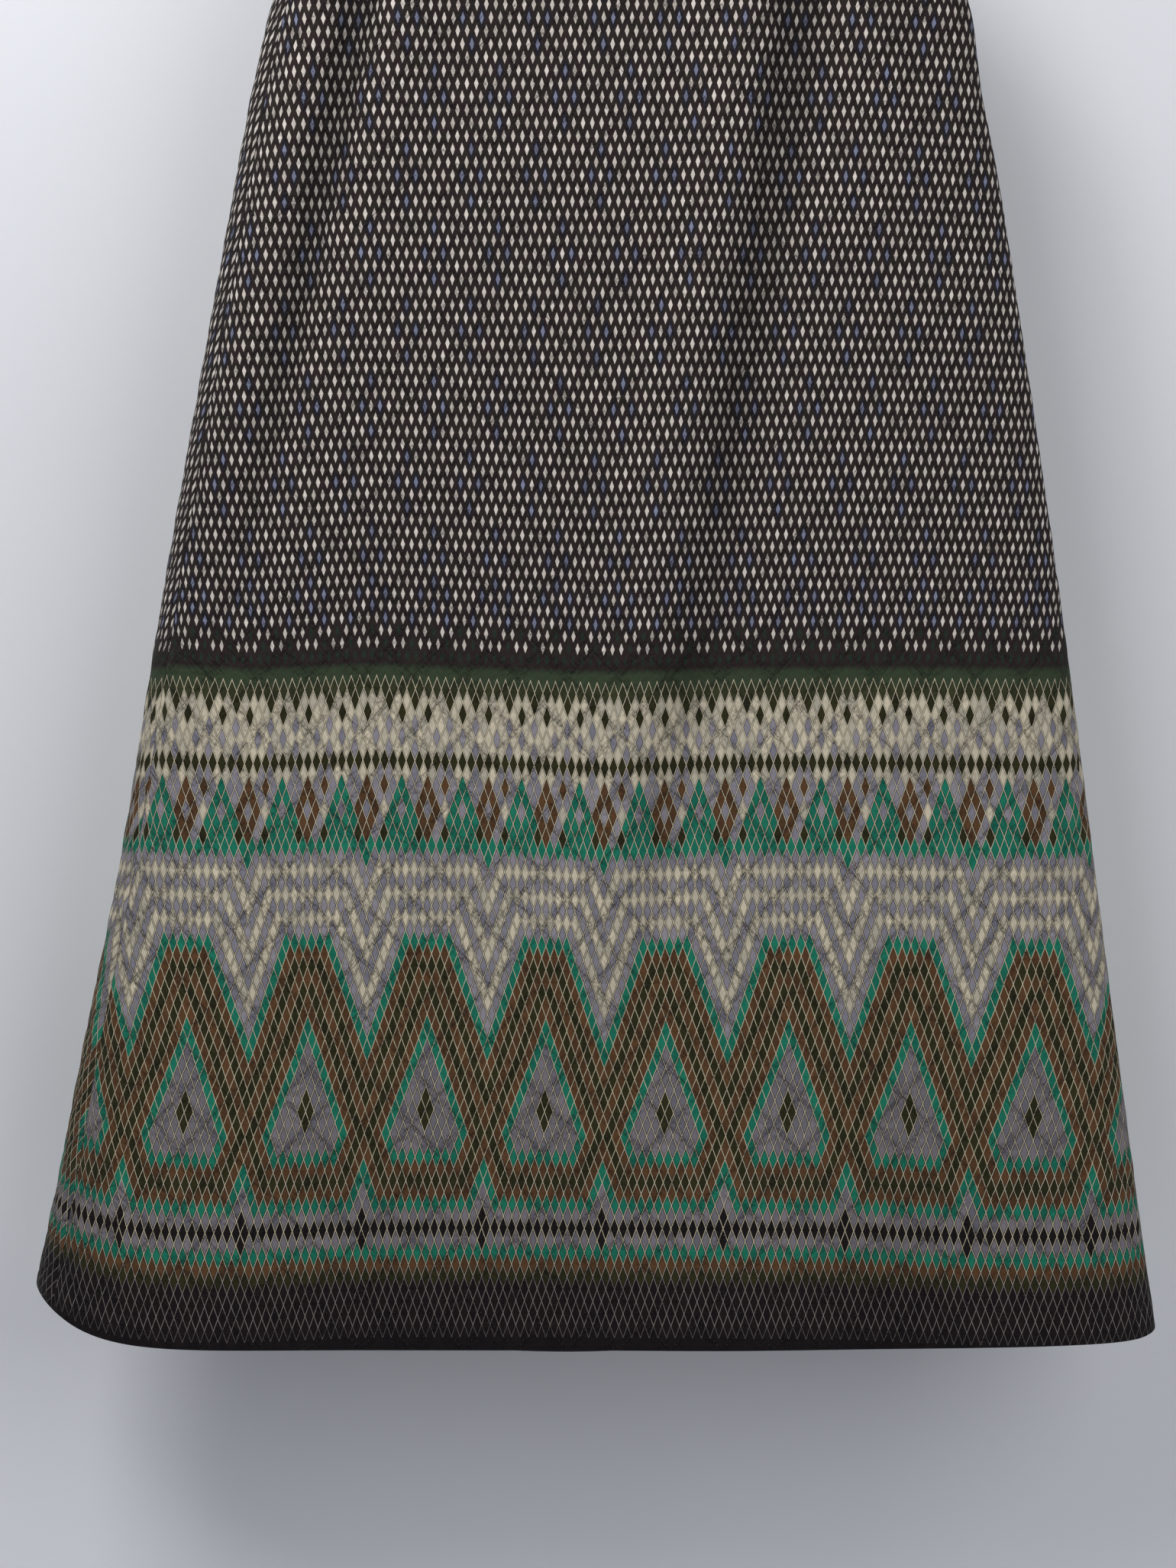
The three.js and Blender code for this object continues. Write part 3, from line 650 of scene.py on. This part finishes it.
class Skin:  # points and faces while a wall is being made
    def __init__(self):
        self.points, self.flat, self.lifts, self.faces, self.kinds = [], [], [], [], []
        self.count = 0

    def add(self, points, u, v, lift=0.0):
        self.points.append(np.asarray(points))
        self.lifts.append(np.broadcast_to(lift, np.shape(u)))
        self.flat.append(np.stack([u, np.broadcast_to(v, np.shape(u))], axis=-1))
        first = self.count
        self.count += len(points)
        return np.arange(first, self.count)

    # fills between two rows of (index, key), the first above the second when seen from outside
    def fill(self, above, below, kind):
        (a, keyA), (b, keyB) = above, below
        i = j = 0
        while i < len(a) - 1 or j < len(b) - 1:
            nextA = keyA[i + 1] if i < len(a) - 1 else math.inf
            nextB = keyB[j + 1] if j < len(b) - 1 else math.inf
            if nextA <= nextB:
                self.faces.append((a[i], b[j], a[i + 1]))
                i += 1
            else:
                self.faces.append((a[i], b[j], b[j + 1]))
                j += 1
            self.kinds.append(kind)

    # joins closed rings into a tube with flat ends
    def tube(self, rings):
        count = len(rings[0])
        for a, b in zip(rings, rings[1:]):
            for m in range(count):
                n = (m + 1) % count
                self.faces += [(a[m], a[n], b[n]), (a[m], b[n], b[m])]
        for m in range(1, count - 1):
            self.faces.append((rings[0][0], rings[0][m + 1], rings[0][m]))
            self.faces.append((rings[-1][0], rings[-1][m], rings[-1][m + 1]))
        self.kinds = [0] * len(self.faces)


def newPiece(name, points, faces, materials):
    mesh = bpy.data.meshes.new(name)
    mesh.from_pydata((points * mm).tolist(), [], faces)
    for material in materials:
        mesh.materials.append(material)
    mesh.update()
    piece = bpy.data.objects.new(name, mesh)
    bpy.context.collection.objects.link(piece)
    return piece


def selectOnly(piece):
    bpy.ops.object.select_all(action="DESELECT")
    piece.select_set(True)
    bpy.context.view_layer.objects.active = piece


def clothPiece(name, skin, materials):
    faces = [tuple(int(i) for i in face) for face in skin.faces]
    piece = newPiece(name, np.concatenate(skin.points), faces, materials)
    mesh = piece.data
    mesh.polygons.foreach_set("material_index", np.array(skin.kinds, dtype=np.int32))
    mesh.polygons.foreach_set("use_smooth", np.ones(len(mesh.polygons), dtype=bool))
    corners = np.empty(len(mesh.loops), dtype=np.int32)
    mesh.loops.foreach_get("vertex_index", corners)
    flat = np.concatenate(skin.flat)
    u, v = flat[:, 0], flat[:, 1]
    maps = {
        "quilting": (u / quilt["halfWide"], (v - topDown) / rowHeight),
        "border": borderAt(u, v),
        "upper": upperAt(u, v),
    }
    for title, (x, y) in maps.items():
        layer = mesh.uv_layers.new(name=title)
        both = np.stack([x[corners], y[corners]], axis=-1).astype(np.float32)
        layer.data.foreach_set("uv", both.ravel())
    # how far the folds lift the cloth, which the print reads to paint shade into each valley and a highlight
    # onto each ridge
    lifts = mesh.attributes.new("lift", "FLOAT", "POINT")
    lifts.data.foreach_set("value", np.concatenate(skin.lifts).astype(np.float32))
    mesh.update()
    selectOnly(piece)
    bpy.ops.object.shade_smooth_by_angle(angle=math.radians(form["smoothUnder"]))
    return piece


rng = np.random.default_rng(11)
puffVariety = rng.uniform(0.82, 1.12, (200, 200))

thread = {
    "perSide": 8, "share": 0.7, "straight": 0.72, "wide": 0.5, "high": 0.3, "slack": (0.8, 1.2),
    "wander": 0.08, "sink": 0.3, "lies": 0.05, "missed": 0.02, "clear": 4,
}


# stitches from their starts, ends and normals: each is a spindle whose two ends dip into the cloth
def stitches(name, sewn, material, slot, wide=thread["wide"], high=thread["high"]):
    starts, ends, normals = (np.array(part) for part in zip(*sewn))
    kept = rng.random(len(starts)) > thread["missed"]
    starts, ends, normals = starts[kept], ends[kept], normals[kept]
    slack = rng.uniform(*thread["slack"], (len(starts), 1))
    along = ends - starts
    along /= np.linalg.norm(along, axis=1, keepdims=True)
    side = np.cross(normals, along)
    middle = (starts + ends) / 2 + side * rng.uniform(-thread["wander"], thread["wander"], (len(starts), 1))
    sunk = normals * thread["sink"]
    corners = np.stack([starts - sunk, middle + side * wide / 2, middle + normals * high * slack,
                        middle - side * wide / 2, middle - normals * high, ends - sunk], axis=1)
    shape = []
    for k in range(4):
        shape += [(0, 1 + (k + 1) % 4, 1 + k), (5, 1 + k, 1 + (k + 1) % 4)]
    faces = (np.array(shape)[None] + 6 * np.arange(len(starts))[:, None, None]).reshape(-1, 3)
    piece = newPiece(name, corners.reshape(-1, 3), faces.tolist(), [material])
    piece.data.polygons.foreach_set("use_smooth", np.ones(len(faces), dtype=bool))
    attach(piece, "skirt")
    print(name, "sewn,", len(faces), "triangles")


def puffRise(down, along, x, y, edgeDistance):
    p, q = (x + y) / 2, (x - y) / 2
    pillow = (np.abs(np.sin(np.pi * p)) * np.abs(np.sin(np.pi * q))) ** quilt["round"]
    variety = puffVariety[np.floor(p).astype(int) % 200, np.floor(q).astype(int) % 200]
    near = np.exp(-((fromLeftEdge(down, along) / quilt["lostReach"]) ** 2))
    fromEnds = min(down - topDown, form["length"] - down)
    fade = smooth(edgeDistance / quilt["flatAtEdge"]) * float(smooth(fromEnds / quilt["flatAtEdge"]))
    return quilt["rise"] * pillow * variety * (1 - quilt["lostAtLeft"] * near) * fade


def thickAt(down, along):
    reach = form["thickerReach"]
    nearLeft = np.exp(-((fromLeftEdge(down, along) / reach) ** 2))
    nearRight = np.exp(-(((along - alongAtTurn(down, 1)) / reach) ** 2))
    return form["cloth"] + form["thickerLeft"] * nearLeft + form["thickerRight"] * nearRight


# for each: the seams that it lies between, then the one that its quilting is counted from
panels = {
    "front": {"seams": ("left", "right", "middle"), "gaps": (halfSeam, halfSeam), "inside": 70},
    "back_left": {"seams": ("right", "back", "back"), "gaps": (halfSeam, halfBackGap), "inside": 36},
    "back_right": {"seams": ("back", "leftFromBack", "back"), "gaps": (halfBackGap, halfSeam), "inside": 38},
}


def edgesAt(panel, down):
    start, stop, zero = (alongAtTurn(down, seams[name](down)) for name in panel["seams"])
    fromGap, toGap = panel["gaps"]
    return start + fromGap(down), stop - toGap(down), zero


def quiltedPanel(name, panel):
    skin = Skin()
    fine = quilt["fine"]
    fineWide = quilt["halfWide"] / fine
    outside, area, widest = [], 0, 0
    for row in range(quilt["halfRows"] * fine + 1):
        down = topDown + rowHeight * row / fine
        start, stop, zero = edgesAt(panel, down)
        first = math.ceil((start - zero) / fineWide + quilt["clearOfSeam"])
        last = math.floor((stop - zero) / fineWide - quilt["clearOfSeam"])
        columns = np.arange(first, last + 1)
        along = np.concatenate([[start], zero + columns * fineWide, [stop]])
        edgeDistance = np.minimum(along - start, stop - along)
        out = puffRise(down, along, (along - zero) / quilt["halfWide"], row / fine, edgeDistance)
        index = skin.add(clothPoints(down, along, out), along - zero, down, liftAt(down, along))
        outside.append((index, along - zero, first, last))
        area += (stop - start) * rowHeight / fine
        widest = max(widest, stop - start)

    for row in range(len(outside) - 1):
        (a, keyA, firstA, lastA), (b, keyB, firstB, lastB) = outside[row], outside[row + 1]
        first, last = max(firstA, firstB), min(lastA, lastB)
        atA, atB = first - firstA + 1, first - firstB + 1
        skin.fill((a[:atA + 1], keyA), (b[:atB + 1], keyB), 0)
        span = np.arange(last - first)
        tl, tr = a[atA + span], a[atA + span + 1]
        bl, br = b[atB + span], b[atB + span + 1]
        even = ((first + span) // fine + row // fine) % 2 == 0
        upper = np.where(even[:, None], np.stack([tl, bl, br], 1), np.stack([tl, bl, tr], 1))
        lower = np.where(even[:, None], np.stack([tl, br, tr], 1), np.stack([tr, bl, br], 1))
        skin.faces.extend(upper.tolist() + lower.tolist())
        skin.kinds.extend([0] * (2 * len(span)))
        endA, endB = last - firstA + 1, last - firstB + 1
        skin.fill((a[endA:], keyA[endA:]), (b[endB:], keyB[endB:]), 0)

    inside = []
    insideRows = list(range(0, quilt["halfRows"] + 1))
    for row in insideRows:
        down = topDown + rowHeight * row
        start, stop, zero = edgesAt(panel, down)
        along = np.linspace(start, stop, panel["inside"] + 1)
        index = skin.add(clothPoints(down, along, -thickAt(down, along)), along - zero, down)
        inside.append((index, along - zero))
    for above, below in zip(inside[1:], inside[:-1]):
        skin.fill(above, below, 1)

    # rims: the hem is rounded by a row of points between its two faces
    def share(line):
        keys = np.asarray(line[1])
        return line[0], (keys - keys[0]) / (keys[-1] - keys[0])

    outsideRows = np.arange(len(outside)) / fine
    firstOut, lastOut = share(outside[0][:2]), share(outside[-1][:2])
    skin.fill(share(inside[0]), firstOut, 1)
    down = form["length"]
    start, stop, zero = edgesAt(panel, down)
    along = np.linspace(start, stop, panel["inside"] * 2 + 1)
    middle = clothPoints(down, along, -thickAt(down, along) / 2)
    middle[:, 2] -= form["hemRound"] * smooth(np.minimum(along - start, stop - along) / form["hemRoundFrom"])
    index = skin.add(middle, along - zero, down)
    rounded = (index, np.linspace(0, 1, len(index)))
    skin.fill(lastOut, rounded, 0)
    skin.fill(rounded, share(inside[-1]), 1)
    skin.faces.append((outside[-1][0][0], inside[-1][0][0], index[0]))
    skin.faces.append((outside[-1][0][-1], index[-1], inside[-1][0][-1]))
    skin.kinds.extend([1, 1])
    for end in (0, -1):
        outer = (np.array([line[0][end] for line in outside]), outsideRows)
        inner = (np.array([line[0][end] for line in inside]), np.array(insideRows) + 0.1)
        if end == 0:
            skin.fill(outer, inner, 1)
        else:
            skin.fill(inner, outer, 1)

    piece = clothPiece(name + "_cloth", skin, [printedCotton, blackCotton])
    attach(piece, "skirt")
    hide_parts(name)
    print(name, "made,", len(skin.faces), "triangles")


# the trellis of quilting stitches: two sets of slanting lines in the channels between the puffs
def quiltingStitches(name, panel):
    sewn = []
    step = 1 / thread["perSide"]
    reach = step * thread["share"] / 2
    for k in range(1, quilt["halfRows"] * thread["perSide"] - 1):
        middle = (k + 0.5) * step
        rows = []
        for y in (middle - reach, middle, middle + reach):
            down = topDown + rowHeight * y
            start, stop, zero = edgesAt(panel, down)
            low = (start + thread["clear"] - zero) / quilt["halfWide"]
            high = (stop - thread["clear"] - zero) / quilt["halfWide"]
            rows.append((y, down, zero, low, high))
        low, high = max(row[3] for row in rows), min(row[4] for row in rows)
        for slope in (1, -1):
            first, last = math.ceil((low - slope * middle) / 2), math.floor((high - slope * middle) / 2)
            number = np.arange(first, last + 1)
            points = []
            for y, down, zero, _, _ in rows:
                along = zero + (2 * number + slope * y) * quilt["halfWide"]
                points.append(clothPoints(down, along, thread["lies"]))
                if y == middle:
                    raised = clothPoints(down, along, thread["lies"] + 1) - points[-1]
            sewn.extend(zip(points[0], points[2], raised))
    stitches(name, sewn, darkThread, "print_cloth")


for side, panel in panels.items():
    quiltedPanel(side + "_panel", panel)
    quiltingStitches(side + "_quilting", panel)

band = {
    "thick": 4, "lap": 26, "ramp": 30, "steps": 260, "round": 0.9, "sewn": (2.6, 27.2),
    "lapEndSewn": (2.6, 4, 26),  # in from the end, first and last down
    "stitch": 2.9, "thread": {"wide": 0.55, "high": 0.28},
}
wholeRound = alongAtTurn(0, 2) - alongAtTurn(0, 0)


def lapRise(past):
    risen = smooth((past - (wholeRound - band["ramp"])) / (band["ramp"] - 2))
    return (band["thick"] + form["seamGap"]) * float(risen)


# a point of the waistband, at a length along it from its under end and a height above its inner face
def bandPoint(past, out, down):
    wholeAt = alongAtTurn(down, 2) - alongAtTurn(down, 0)
    low = alongAtTurn(down, -0.25)
    right = alongAtTurn(down, 0) - low
    along = alongAtTurn(down, 1.5) - past / wholeRound * wholeAt
    while along < low + right / 2:
        along += wholeAt
    x, y, outX, outY = sectionPoint(down, along)
    out = out + lapRise(past) - form["cloth"]
    return np.array((x + outX * out, y + outY * out, -down))


def waistband():
    skin = Skin()
    total = wholeRound + band["lap"]
    r, thick, high = band["round"], band["thick"], form["bandHeight"]
    profile = [
        (0, r), (0, high / 2), (0, high - r), (r, high), (thick - r, high), (thick, high - r),
        (thick - 0.15, high - 2.8), (thick + 0.2, high * 0.7), (thick + 0.3, high / 2),
        (thick + 0.2, high * 0.3), (thick - 0.15, 2.6), (thick, r), (thick - r, 0), (r, 0),
    ]
    rings = []
    for k in range(band["steps"], -1, -1):
        past = total * k / band["steps"]
        ring = [bandPoint(past, out, down) for out, down in profile]
        rings.append(skin.add(ring, np.full(len(ring), past), np.array([p[1] for p in profile])))
    skin.tube(rings)
    piece = clothPiece("waistband_cloth", skin, [blackCotton])
    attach(piece, "skirt")
    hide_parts("waistband")

    # a row of stitches along each edge, and one down the lap's end
    sewn = []

    def sew(pastA, downA, pastB, downB):
        face = thick - 0.1
        a, b = bandPoint(pastA, face, downA), bandPoint(pastB, face, downB)
        sewn.append((a, b, bandPoint(pastA, face + 1, downA) - a))

    for down in band["sewn"]:
        for past in np.arange(band["lap"] + 4, total - 3, band["stitch"]):
            sew(past, down, past + band["stitch"] * thread["straight"], down)
    inset, first, last = band["lapEndSewn"]
    for down in np.arange(first, last, band["stitch"]):
        sew(total - inset, down, total - inset, down + band["stitch"] * thread["straight"])
    stitches("waistband_stitching", sewn, blackThread, "black_cloth", **band["thread"])
    print("waistband made")


waistband()


# metal or horn: its clouds are a scale and a detail, its grain a scale and a strength
def hardMaterial(name, roughness, dark, light, clouds, grain, metallic=0.0):
    finish = Finish(name, roughness)
    finish.shader.inputs["Metallic"].default_value = metallic
    where = finish.place()
    finish.colour(finish.blend(finish.noise(where, *clouds), sRgb(dark), sRgb(light)))
    finish.bump(finish.noise(where, grain[0], 2), 0.0001, grain[1])
    return finish.material


tapeCloth = plainCloth("zipTapeCloth", sRgb("17151A"), 0.8, 1600)
zipMetal = hardMaterial("zipMetal", 0.34, "6E6A62", "A8A296", (400, 2), (2500, 0.3), metallic=1.0)
buttonHorn = hardMaterial("buttonHorn", 0.32, "120E0E", "2E2724", (160, 4), (900, 0.2))
for node, material in {"zip_slider": zipMetal, "zip_pull": zipMetal, "waist_button": buttonHorn}.items():
    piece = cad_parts[node]
    piece.data.materials.clear()
    piece.data.materials.append(material)

zipper = {
    "start": 30.4, "stop": 230, "half": 14, "behind": -2.75, "thick": 0.8, "steps": 120,
    "weave": 0.05, "pitch": 2.1, "tooth": (2.75, 1.0, 1.7), "toothOut": -1.35, "toothLap": 0.55,
    "nose": 0.5, "worn": 0.12, "firstTooth": 46, "footClear": 6, "sewnFrom": 33, "sewnAt": 7.5,
    "sewnUnder": 3, "stitch": 3, "thread": {"wide": 0.55, "high": 0.35},
}


# a point near the centre back seam, so far towards the wearer's right and out of the cloth
def backPoint(down, aside, out):
    return clothPoints(down, np.array([alongAtTurn(down, 1.5) + aside]), out)[0]


def backFrame(down, aside, out):
    place = backPoint(down, aside, out)
    up = backPoint(down - 5, aside, out) - backPoint(down + 5, aside, out)
    up /= np.linalg.norm(up)
    right = np.array((-1.0, 0.0, 0.0))
    return place, right, up, np.cross(right, up)


def zipTape(side, name):
    skin = Skin()
    behind, low = zipper["behind"], zipper["behind"] - zipper["thick"]
    profile = [
        (0.2, low), (13.6, low), (zipper["half"], low + 0.3), (13.6, behind), (10.2, behind - 0.1),
        (3.4, behind), (2.9, behind + 0.2), (1.9, behind + 0.55), (0.9, behind + 0.45), (0.2, behind),
    ]
    rings = []
    for k in range(zipper["steps"] + 1):
        down = zipper["start"] + (zipper["stop"] - zipper["start"]) * k / zipper["steps"]
        weave = zipper["weave"] * (-1) ** k  # it ribs the outer face alone
        outs = [out + weave * (2 < m < 9) for m, (_, out) in enumerate(profile)]
        ring = [backPoint(down, side * aside, out) for (aside, _), out in zip(profile, outs)]
        rings.append(skin.add(ring, np.array([p[0] for p in profile]), down))
    skin.tube(rings)
    if side > 0:
        skin.faces = [face[::-1] for face in skin.faces]
    piece = clothPiece(name, skin, [tapeCloth])
    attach(piece, "skirt")
    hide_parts("zip_tape")


def selectEdges(piece, wanted):
    bpy.ops.object.mode_set(mode="EDIT")
    bpy.ops.mesh.select_all(action="DESELECT")
    bpy.ops.object.mode_set(mode="OBJECT")
    for edge in piece.data.edges:
        edge.select = wanted(*[piece.data.vertices[k].co for k in edge.vertices])
    bpy.ops.object.mode_set(mode="EDIT")
    bpy.ops.mesh.select_mode(type="EDGE")


# one tooth, modelled once: a block with a rounded nose, then copied down the tape
def toothShape():
    bpy.ops.object.select_all(action="DESELECT")
    bpy.ops.mesh.primitive_cube_add(size=1, location=(0, 0, 0))
    tooth = bpy.context.object
    tooth.scale = zipper["tooth"]
    bpy.ops.object.transform_apply(location=False, rotation=False, scale=True)
    selectEdges(tooth, lambda a, b: max(a.x, b.x) < 0)
    bpy.ops.mesh.bevel(offset=zipper["nose"], segments=2, affect="EDGES")
    bpy.ops.object.mode_set(mode="OBJECT")
    modifier = tooth.modifiers.new("worn edges", "BEVEL")
    modifier.width = zipper["worn"]
    modifier.segments = 1
    bpy.ops.object.modifier_apply(modifier=modifier.name)
    points = np.array([vertex.co[:] for vertex in tooth.data.vertices])
    faces = [tuple(face.vertices) for face in tooth.data.polygons]
    bpy.data.objects.remove(tooth)
    return points, faces


def zipTeeth(side, name, tooth, offset):
    points, faces = tooth
    allPoints, allFaces = [], []
    down = zipper["firstTooth"] + offset
    while down < zipper["stop"] - zipper["footClear"]:
        aside = side * (zipper["tooth"][0] / 2 - zipper["toothLap"])
        place, right, up, outward = backFrame(down, aside, zipper["toothOut"])
        first = len(allPoints) * len(points)
        shape = points * (side, 1, 1)
        allPoints.append(place + shape[:, :1] * right + shape[:, 1:2] * up + shape[:, 2:] * outward)
        for face in faces:
            face = face[::-1] if side < 0 else face
            allFaces.append(tuple(first + k for k in face))
        down += zipper["pitch"]
    piece = newPiece(name, np.concatenate(allPoints), allFaces, [zipMetal])
    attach(piece, "skirt")


zipTape(-1, "zip_tape_left")
zipTape(1, "zip_tape_right")
tooth = toothShape()
zipTeeth(-1, "zip_teeth_left", tooth, 0)
zipTeeth(1, "zip_teeth_right", tooth, zipper["pitch"] / 2)


# the zip is sewn to the panels by a row on each side and one across under its foot
def zipStitching():
    sewn = []

    def onPuffs(down, aside):
        along = np.array([alongAtTurn(down, 1.5) + aside])
        x, y = aside / quilt["halfWide"], (down - topDown) / rowHeight
        distance = abs(aside) - halfBackGap(down)
        out = puffRise(down, along, x, y, np.array([distance]))
        return clothPoints(down, along, out)[0], clothPoints(down, along, out + 1)[0]

    def sew(downA, asideA, downB, asideB):
        a, raised = onPuffs(downA, asideA)
        sewn.append((a, onPuffs(downB, asideB)[0], raised - a))

    foot = zipper["stop"] + zipper["sewnUnder"]
    straight = zipper["stitch"] * thread["straight"]
    for aside in (-zipper["sewnAt"], zipper["sewnAt"]):
        for down in np.arange(zipper["sewnFrom"], foot - 1, zipper["stitch"]):
            sew(down, aside, down + straight, aside)
    for aside in np.arange(-zipper["sewnAt"], zipper["sewnAt"] - 1, zipper["stitch"]):
        sew(foot, aside, foot, aside + straight)
    stitches("zip_stitching", sewn, blackThread, "print_cloth", **zipper["thread"])


zipStitching()
print("zip made")

button = {
    "aside": -12, "down": 15, "holes": 1.7, "face": 2.4, "strands": (-0.3, 0.3), "strand": 0.42,
    "slot": 10.5, "slotRises": 0.15, "slotStitches": 34, "slotStitch": (0.3, 2.1),
    "thread": {"wide": 0.62, "high": 0.3},
}


# thread through the button's holes, and the bound slot that it is passed through
def buttonSewing():
    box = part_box("waist_button")
    centre = np.array([(a + b) / 2 for a, b in zip(*box)]) / mm
    _, right, up, outward = backFrame(button["down"], button["aside"], 0)
    centre = centre + outward * (button["face"] / 2)
    curve = bpy.data.curves.new("button_thread", "CURVE")
    curve.dimensions = "3D"
    curve.bevel_depth = button["strand"] / 2 * mm
    curve.bevel_resolution = 2
    curve.use_fill_caps = True
    for row, part in [(row, part) for row in (-1, 1) for part in button["strands"]]:
        level = centre + up * (row * button["holes"] + part)
        a, b = level - right * button["holes"], level + right * button["holes"]
        heights = ((0, -1.2), (0, -0.1), (0.15, 0.25), (0.5, 0.35), (0.85, 0.25), (1, -0.1), (1, -1.2))
        path = [a + (b - a) * share + outward * high for share, high in heights]
        spline = curve.splines.new("POLY")
        spline.points.add(len(path) - 1)
        for point, at in zip(spline.points, path):
            point.co = (*(at * mm), 1)
    piece = bpy.data.objects.new("button_thread", curve)
    bpy.context.collection.objects.link(piece)
    selectOnly(piece)
    bpy.ops.object.convert(target="MESH")
    piece.data.materials.append(blackThread)
    bpy.ops.object.shade_smooth()
    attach(piece, "skirt")

    sewn = []
    past = wholeRound - button["aside"]
    face = band["thick"] + button["slotRises"]
    near, far = button["slotStitch"]
    for k in range(button["slotStitches"]):
        at = past - button["slot"] + k * 2 * button["slot"] / (button["slotStitches"] - 1)
        for edge in (-1, 1):
            a, b = (bandPoint(at, face, button["down"] + edge * reach) for reach in (near, far))
            sewn.append((a, b, bandPoint(at, face + 1, button["down"]) - bandPoint(at, face, button["down"])))
    stitches("buttonhole", sewn, blackThread, "black_cloth", **button["thread"])


buttonSewing()
print("button sewn on")

stage = {
    "wallY": 0.13, "middleY": -2.0, "floorZ": -2.4, "wide": 7, "high": 4.6, "cove": 0.35,
    "key": {"place": (-1.2, -1.9, 1.5), "aim": (-0.1, 0.0, -0.1), "size": 1.3, "power": 38},
    "fill": {"place": (1.7, -2.3, 0.2), "aim": (0.1, 0.0, -0.6), "size": 2.4, "power": 34},
    "wash": {"place": (-0.75, -0.75, 0.75), "aim": (-0.35, 0.13, -0.15), "size": 0.6, "power": 7},
    "rear": {"place": (0.3, 2.4, 0.8), "aim": (0.0, 0.0, -0.55), "size": 1.4, "power": 60},
    "sky": 0.14, "seenSky": 0.6, "skyTint": (0.86, 0.9, 1.0, 1),
}


def wallMaterial():
    wall = Finish("paleWall", 0.9)
    wall.colour(wall.blend(wall.noise(wall.place(), 3, 2), sRgb("E3E5EA"), sRgb("E9EBEF")))
    farSide = wall.node("NewGeometry", {}, "Backfacing")  # left open, as a set's is
    clear = wall.node("BsdfTransparent", {})
    mixed = wall.node("MixShader", {0: farSide, 1: Wire(wall, wall.shader.outputs[0]), 2: clear})
    wall.tree.links.new(mixed.socket, wall.tree.nodes["Material Output"].inputs[0])
    return wall.material


def makeStage():
    wallY, floorZ, middleY = stage["wallY"], stage["floorZ"], stage["middleY"]
    bpy.ops.object.select_all(action="DESELECT")
    bpy.ops.mesh.primitive_plane_add(size=1, location=(0, middleY, floorZ))
    room = bpy.context.object
    room.name = "room"
    room.scale = (stage["wide"], 2 * (wallY - middleY), 1)
    bpy.ops.object.transform_apply(location=True, rotation=True, scale=True)
    selectEdges(room, lambda a, b: min(a.y, b.y) > wallY - 0.01)
    bpy.ops.mesh.extrude_region_move(TRANSFORM_OT_translate={"value": (0, 0, stage["high"])})
    selectEdges(room, lambda a, b: min(a.y, b.y) > wallY - 0.01 and max(a.z, b.z) < floorZ + 0.01)
    bpy.ops.mesh.bevel(offset=stage["cove"], segments=10, affect="EDGES")
    bpy.ops.object.mode_set(mode="OBJECT")
    bpy.ops.object.shade_smooth()
    room.data.materials.append(wallMaterial())
    room.visible_shadow = False  # lets the rear light through to the skirt's back


def addLight(name):
    light = stage[name]
    bpy.ops.object.light_add(type="AREA", location=light["place"])
    lamp = bpy.context.object
    lamp.name = name + "_light"
    lamp.data.energy = light["power"]
    lamp.data.size = light["size"]
    aim = Vector(light["aim"]) - Vector(light["place"])
    lamp.rotation_euler = aim.to_track_quat("-Z", "Y").to_euler()


makeStage()
for name in ("key", "fill", "wash", "rear"):
    addLight(name)
world = bpy.data.worlds.new("studio")
bpy.context.scene.world = world
world.use_nodes = True
sky = world.node_tree.nodes["Background"]
sky.inputs[0].default_value = stage["skyTint"]
path = world.node_tree.nodes.new("ShaderNodeLightPath")  # paler to the eye than the light that it gives
strength = world.node_tree.nodes.new("ShaderNodeMapRange")
strength.inputs["To Min"].default_value = stage["sky"]
strength.inputs["To Max"].default_value = stage["seenSky"]
world.node_tree.links.new(path.outputs["Is Camera Ray"], strength.inputs["Value"])
world.node_tree.links.new(strength.outputs["Result"], sky.inputs[1])
bpy.context.scene.view_settings.view_transform = "Standard"
print("stage made")
